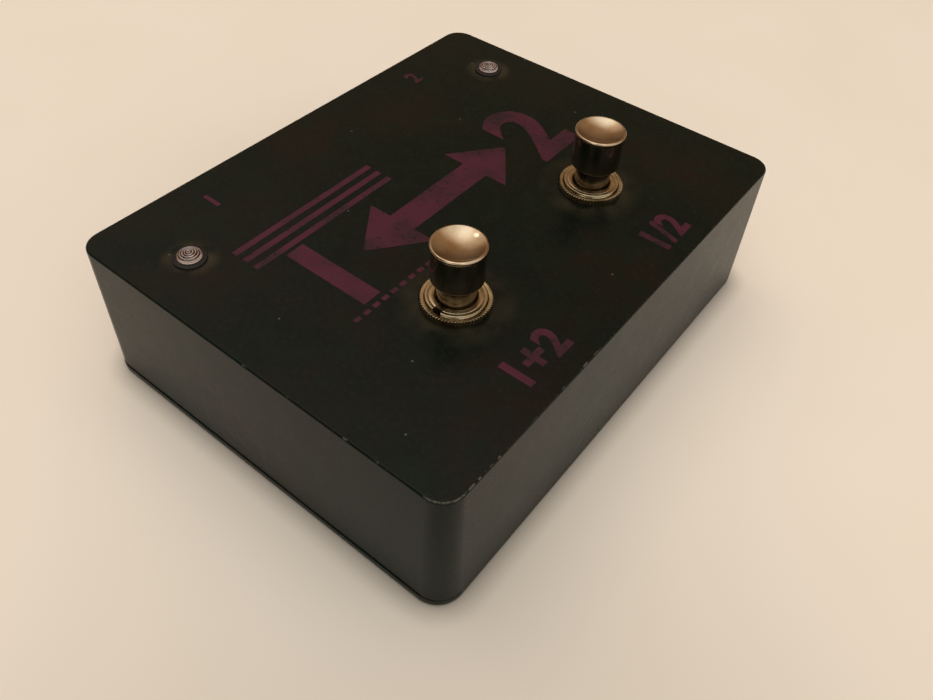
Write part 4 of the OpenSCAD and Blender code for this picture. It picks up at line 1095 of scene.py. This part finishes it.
def makeNumbers():
    for index, (text, middle, height, bold, squeeze) in enumerate(prints["numbers"]):
        deselectAll()
        bpy.ops.object.text_add()
        sign = bpy.context.object
        sign.data.body = text
        sign.data.align_x = "CENTER"
        sign.data.align_y = "CENTER"
        sign.data.size = height / prints["figureShare"] * mm
        sign.data.offset = bold * mm
        sign.data.extrude = prints["thick"] / 2 * mm
        sign.scale = (squeeze, 1, 1)
        bpy.ops.object.convert(target="MESH")
        applyPlace()
        sign = bpy.context.object
        low = [min(p.co[i] for p in sign.data.vertices) for i in (0, 1)]
        high = [max(p.co[i] for p in sign.data.vertices) for i in (0, 1)]
        place = [m - (a + b) / 2 / mm for m, a, b in zip(middle, low, high)]
        settle(sign, place + [layout["top"] + prints["thick"] / 2])
        flatPrint("printNumber" + str(index + 1), sign)


def printBlock(low, high):
    return block("printBlock", (*low, layout["top"]), (*high, layout["top"] + prints["thick"]))


def makeArrow():
    a = prints["arrow"]
    half = a["long"] / 2 - a["headLong"]
    arrow = printBlock((-half, -a["bar"] / 2), (half, a["bar"] / 2))
    for s in (-1, 1):
        # the bar's end steps out to the head and runs to a blunt point
        editWhere(arrow, lambda p: s * p.x > half - slack)
        for run, spread in ((a["step"], a["head"] / a["bar"]), (a["headLong"], a["blunt"])):
            bpy.ops.mesh.extrude_region_move(TRANSFORM_OT_translate={"value": (s * run * mm, 0, 0)})
            bpy.ops.transform.resize(value=(1, spread, 1), center_override=(0, 0, 0))
    flatPrint("printArrow", settle(arrow, (*a["middle"], 0)))


def makeStripes():
    stripes = [printBlock(low, high) for low, high in prints["stripes"]]
    flatPrint("printStripes", joined("printStripes", *stripes))
    d = prints["dashes"]
    x, y = d["from"]
    dashes = [printBlock((x + i * d["pitch"], y), (x + i * d["pitch"] + d["wide"], y + d["high"]))
              for i in range(d["count"])]
    flatPrint("printDashes", joined("printDashes", *dashes))


makeNumbers()
makeArrow()
makeStripes()
print("top print made")

# pale table, soft light and the photograph's camera
studio = {
    "floor": "#f4ede3", "floorShade": "#efe6d9", "floorSize": 12,
    "floorGap": 0.02, "floorCloud": 60,  # in mm
    # a painted shadow darkens the table under the camera: colour, place and reach in metres
    "paintedCameraShadow": "#d2ccc2", "paintedShadowPlace": (-0.108, -0.082, 0), "paintedShadowReach": (0.01, 0.135),
    "contact": "#2e271f", "contactReach": 5,  # soft shade on the table beside the box, reach in mm
    "ceiling": "#fffaf3", "glowFrom": 0.76, "wallHigh": "#ad8d6c", "wallLow": "#42342a",
    "brightSide": "#d6d0c6", "farSide": (0.7, 0.71, 0), "brightReach": (0.25, -0.35), "skyStrength": 1.59,
    "patches": [
        # direction, cosines where it starts and where it is full, colour, strength, how it mixes
        ((-0.38, -0.24, 0.89), (0.9, 0.975), "#fffaf3", 1.35, "MIX"),  # a bright pane high up
        ((0.02, 0.505, 0.863), (0.78, 0.99), "#fff8ee", 0.36, "ADD"),  # the glow of a lampshade
        ((-0.74, 0.56, 0.37), (0.80, 0.93), "#2a231b", 1, "MIX"),  # a dark corner at the left
        ((-0.66, -0.39, 0.64), (0.93, 0.985), "#2a231b", 1, "MIX"),  # a dark shape behind the camera
    ],
    "bulbPlace": (0.02, 0.53, 0.90), "bulbWide": 0.06, "bulbPower": 0.17, "bulbColour": "#fff8ee",
    "camera": (-0.10869182, -0.08246780, 0.14038944), "turn": (41.60977, -2.71044, -51.83641),
    "lens": 31.2513, "sensor": 36, "nearest": 0.01,
}


def makeTable():
    deselectAll()
    bpy.ops.mesh.primitive_plane_add(size=studio["floorSize"], location=(0, 0, -studio["floorGap"] * mm))
    floor = bpy.context.object
    floor.name = "tableTop"
    material, tree, shader, place = newMaterial("paleTableLaminate", {"Roughness": 0.6})
    cloud = addNode(tree, "TexNoise", {"Vector": place, "Scale": perMm(studio["floorCloud"]), "Detail": 2})
    colour = addNode(tree, "Mix", {
        0: cloud, 6: linear(studio["floor"]), 7: linear(studio["floorShade"])}, **colourMix)
    # painted shadow: the table's colour darkens towards the place under the camera
    apart = addNode(tree, "VectorMath", {0: place, 1: studio["paintedShadowPlace"]}, out="Value", operation="DISTANCE")
    full, end = studio["paintedShadowReach"]
    paintedCameraShadow = addNode(tree, "MapRange", {
        "Value": apart, "From Min": full, "From Max": end, "To Min": 1, "To Max": 0},
        interpolation_type="SMOOTHSTEP")
    colour = addNode(tree, "Mix", {0: paintedCameraShadow, 6: colour, 7: linear(studio["paintedCameraShadow"])}, **colourMix)
    clear = addNode(tree, "AmbientOcclusion", {"Distance": studio["contactReach"] * mm}, out="AO")
    colour = addNode(tree, "Mix", {0: clear, 6: linear(studio["contact"]), 7: colour}, **colourMix)
    connect(tree, shader, {"Base Color": colour})
    floor.data.materials.append(material)


def makeRoom():
    # a light ceiling, brown walls that darken downwards, a paler side behind the camera, and patches
    world = bpy.data.worlds.new("softRoom")
    world.use_nodes = True
    sky = world.node_tree
    way = addNode(sky, "TexCoord", out="Generated")
    high = addNode(sky, "SeparateXYZ", {0: way}, out="Z")
    colour = addNode(sky, "Mix", {
        0: high, 6: linear(studio["wallLow"]), 7: linear(studio["wallHigh"])}, **colourMix)
    glow = addNode(sky, "MapRange", {
        "Value": high, "From Min": studio["glowFrom"]}, interpolation_type="SMOOTHSTEP")
    colour = addNode(sky, "Mix", {0: glow, 6: colour, 7: linear(studio["ceiling"])}, **colourMix)
    far = addNode(sky, "VectorMath", {0: way, 1: studio["farSide"]}, out="Value", operation="DOT_PRODUCT")
    first, full = studio["brightReach"]
    bright = addNode(sky, "MapRange", {
        "Value": far, "From Min": first, "From Max": full}, interpolation_type="SMOOTHSTEP")
    colour = addNode(sky, "Mix", {
        0: bright, 6: colour, 7: linear(studio["brightSide"])}, **colourMix)
    for direction, (first, full), code, strength, blend in studio["patches"]:
        share = addNode(sky, "VectorMath", {0: way, 1: direction}, out="Value", operation="DOT_PRODUCT")
        share = addNode(sky, "MapRange", {
            "Value": share, "From Min": first, "From Max": full}, interpolation_type="SMOOTHSTEP")
        tint = [v * strength for v in linear(code)]
        colour = addNode(sky, "Mix", {0: share, 6: colour, 7: tint}, **colourMix, blend_type=blend)
    background = sky.nodes["Background"]
    connect(sky, background, {"Color": colour})
    background.inputs["Strength"].default_value = studio["skyStrength"]
    bpy.context.scene.world = world


def makeBulb():
    bpy.ops.object.light_add(type="AREA", location=studio["bulbPlace"])
    bulb = bpy.context.object
    bulb.name = "bulbLight"
    bulb.data.shape = "DISK"
    bulb.data.size = studio["bulbWide"]
    bulb.data.energy = studio["bulbPower"]
    bulb.data.color = linear(studio["bulbColour"])[:3]
    bulb.rotation_euler = (-bulb.location).to_track_quat("-Z", "Y").to_euler()


def makeCamera():
    bpy.ops.object.camera_add(location=studio["camera"], rotation=[math.radians(a) for a in studio["turn"]])
    camera = bpy.context.object
    camera.data.lens = studio["lens"]
    camera.data.sensor_width = studio["sensor"]
    camera.data.clip_start = studio["nearest"]
    bpy.context.scene.camera = camera
    bpy.context.scene.view_settings.view_transform = "Standard"


makeTable()
makeRoom()
makeBulb()
makeCamera()
print("studio made")
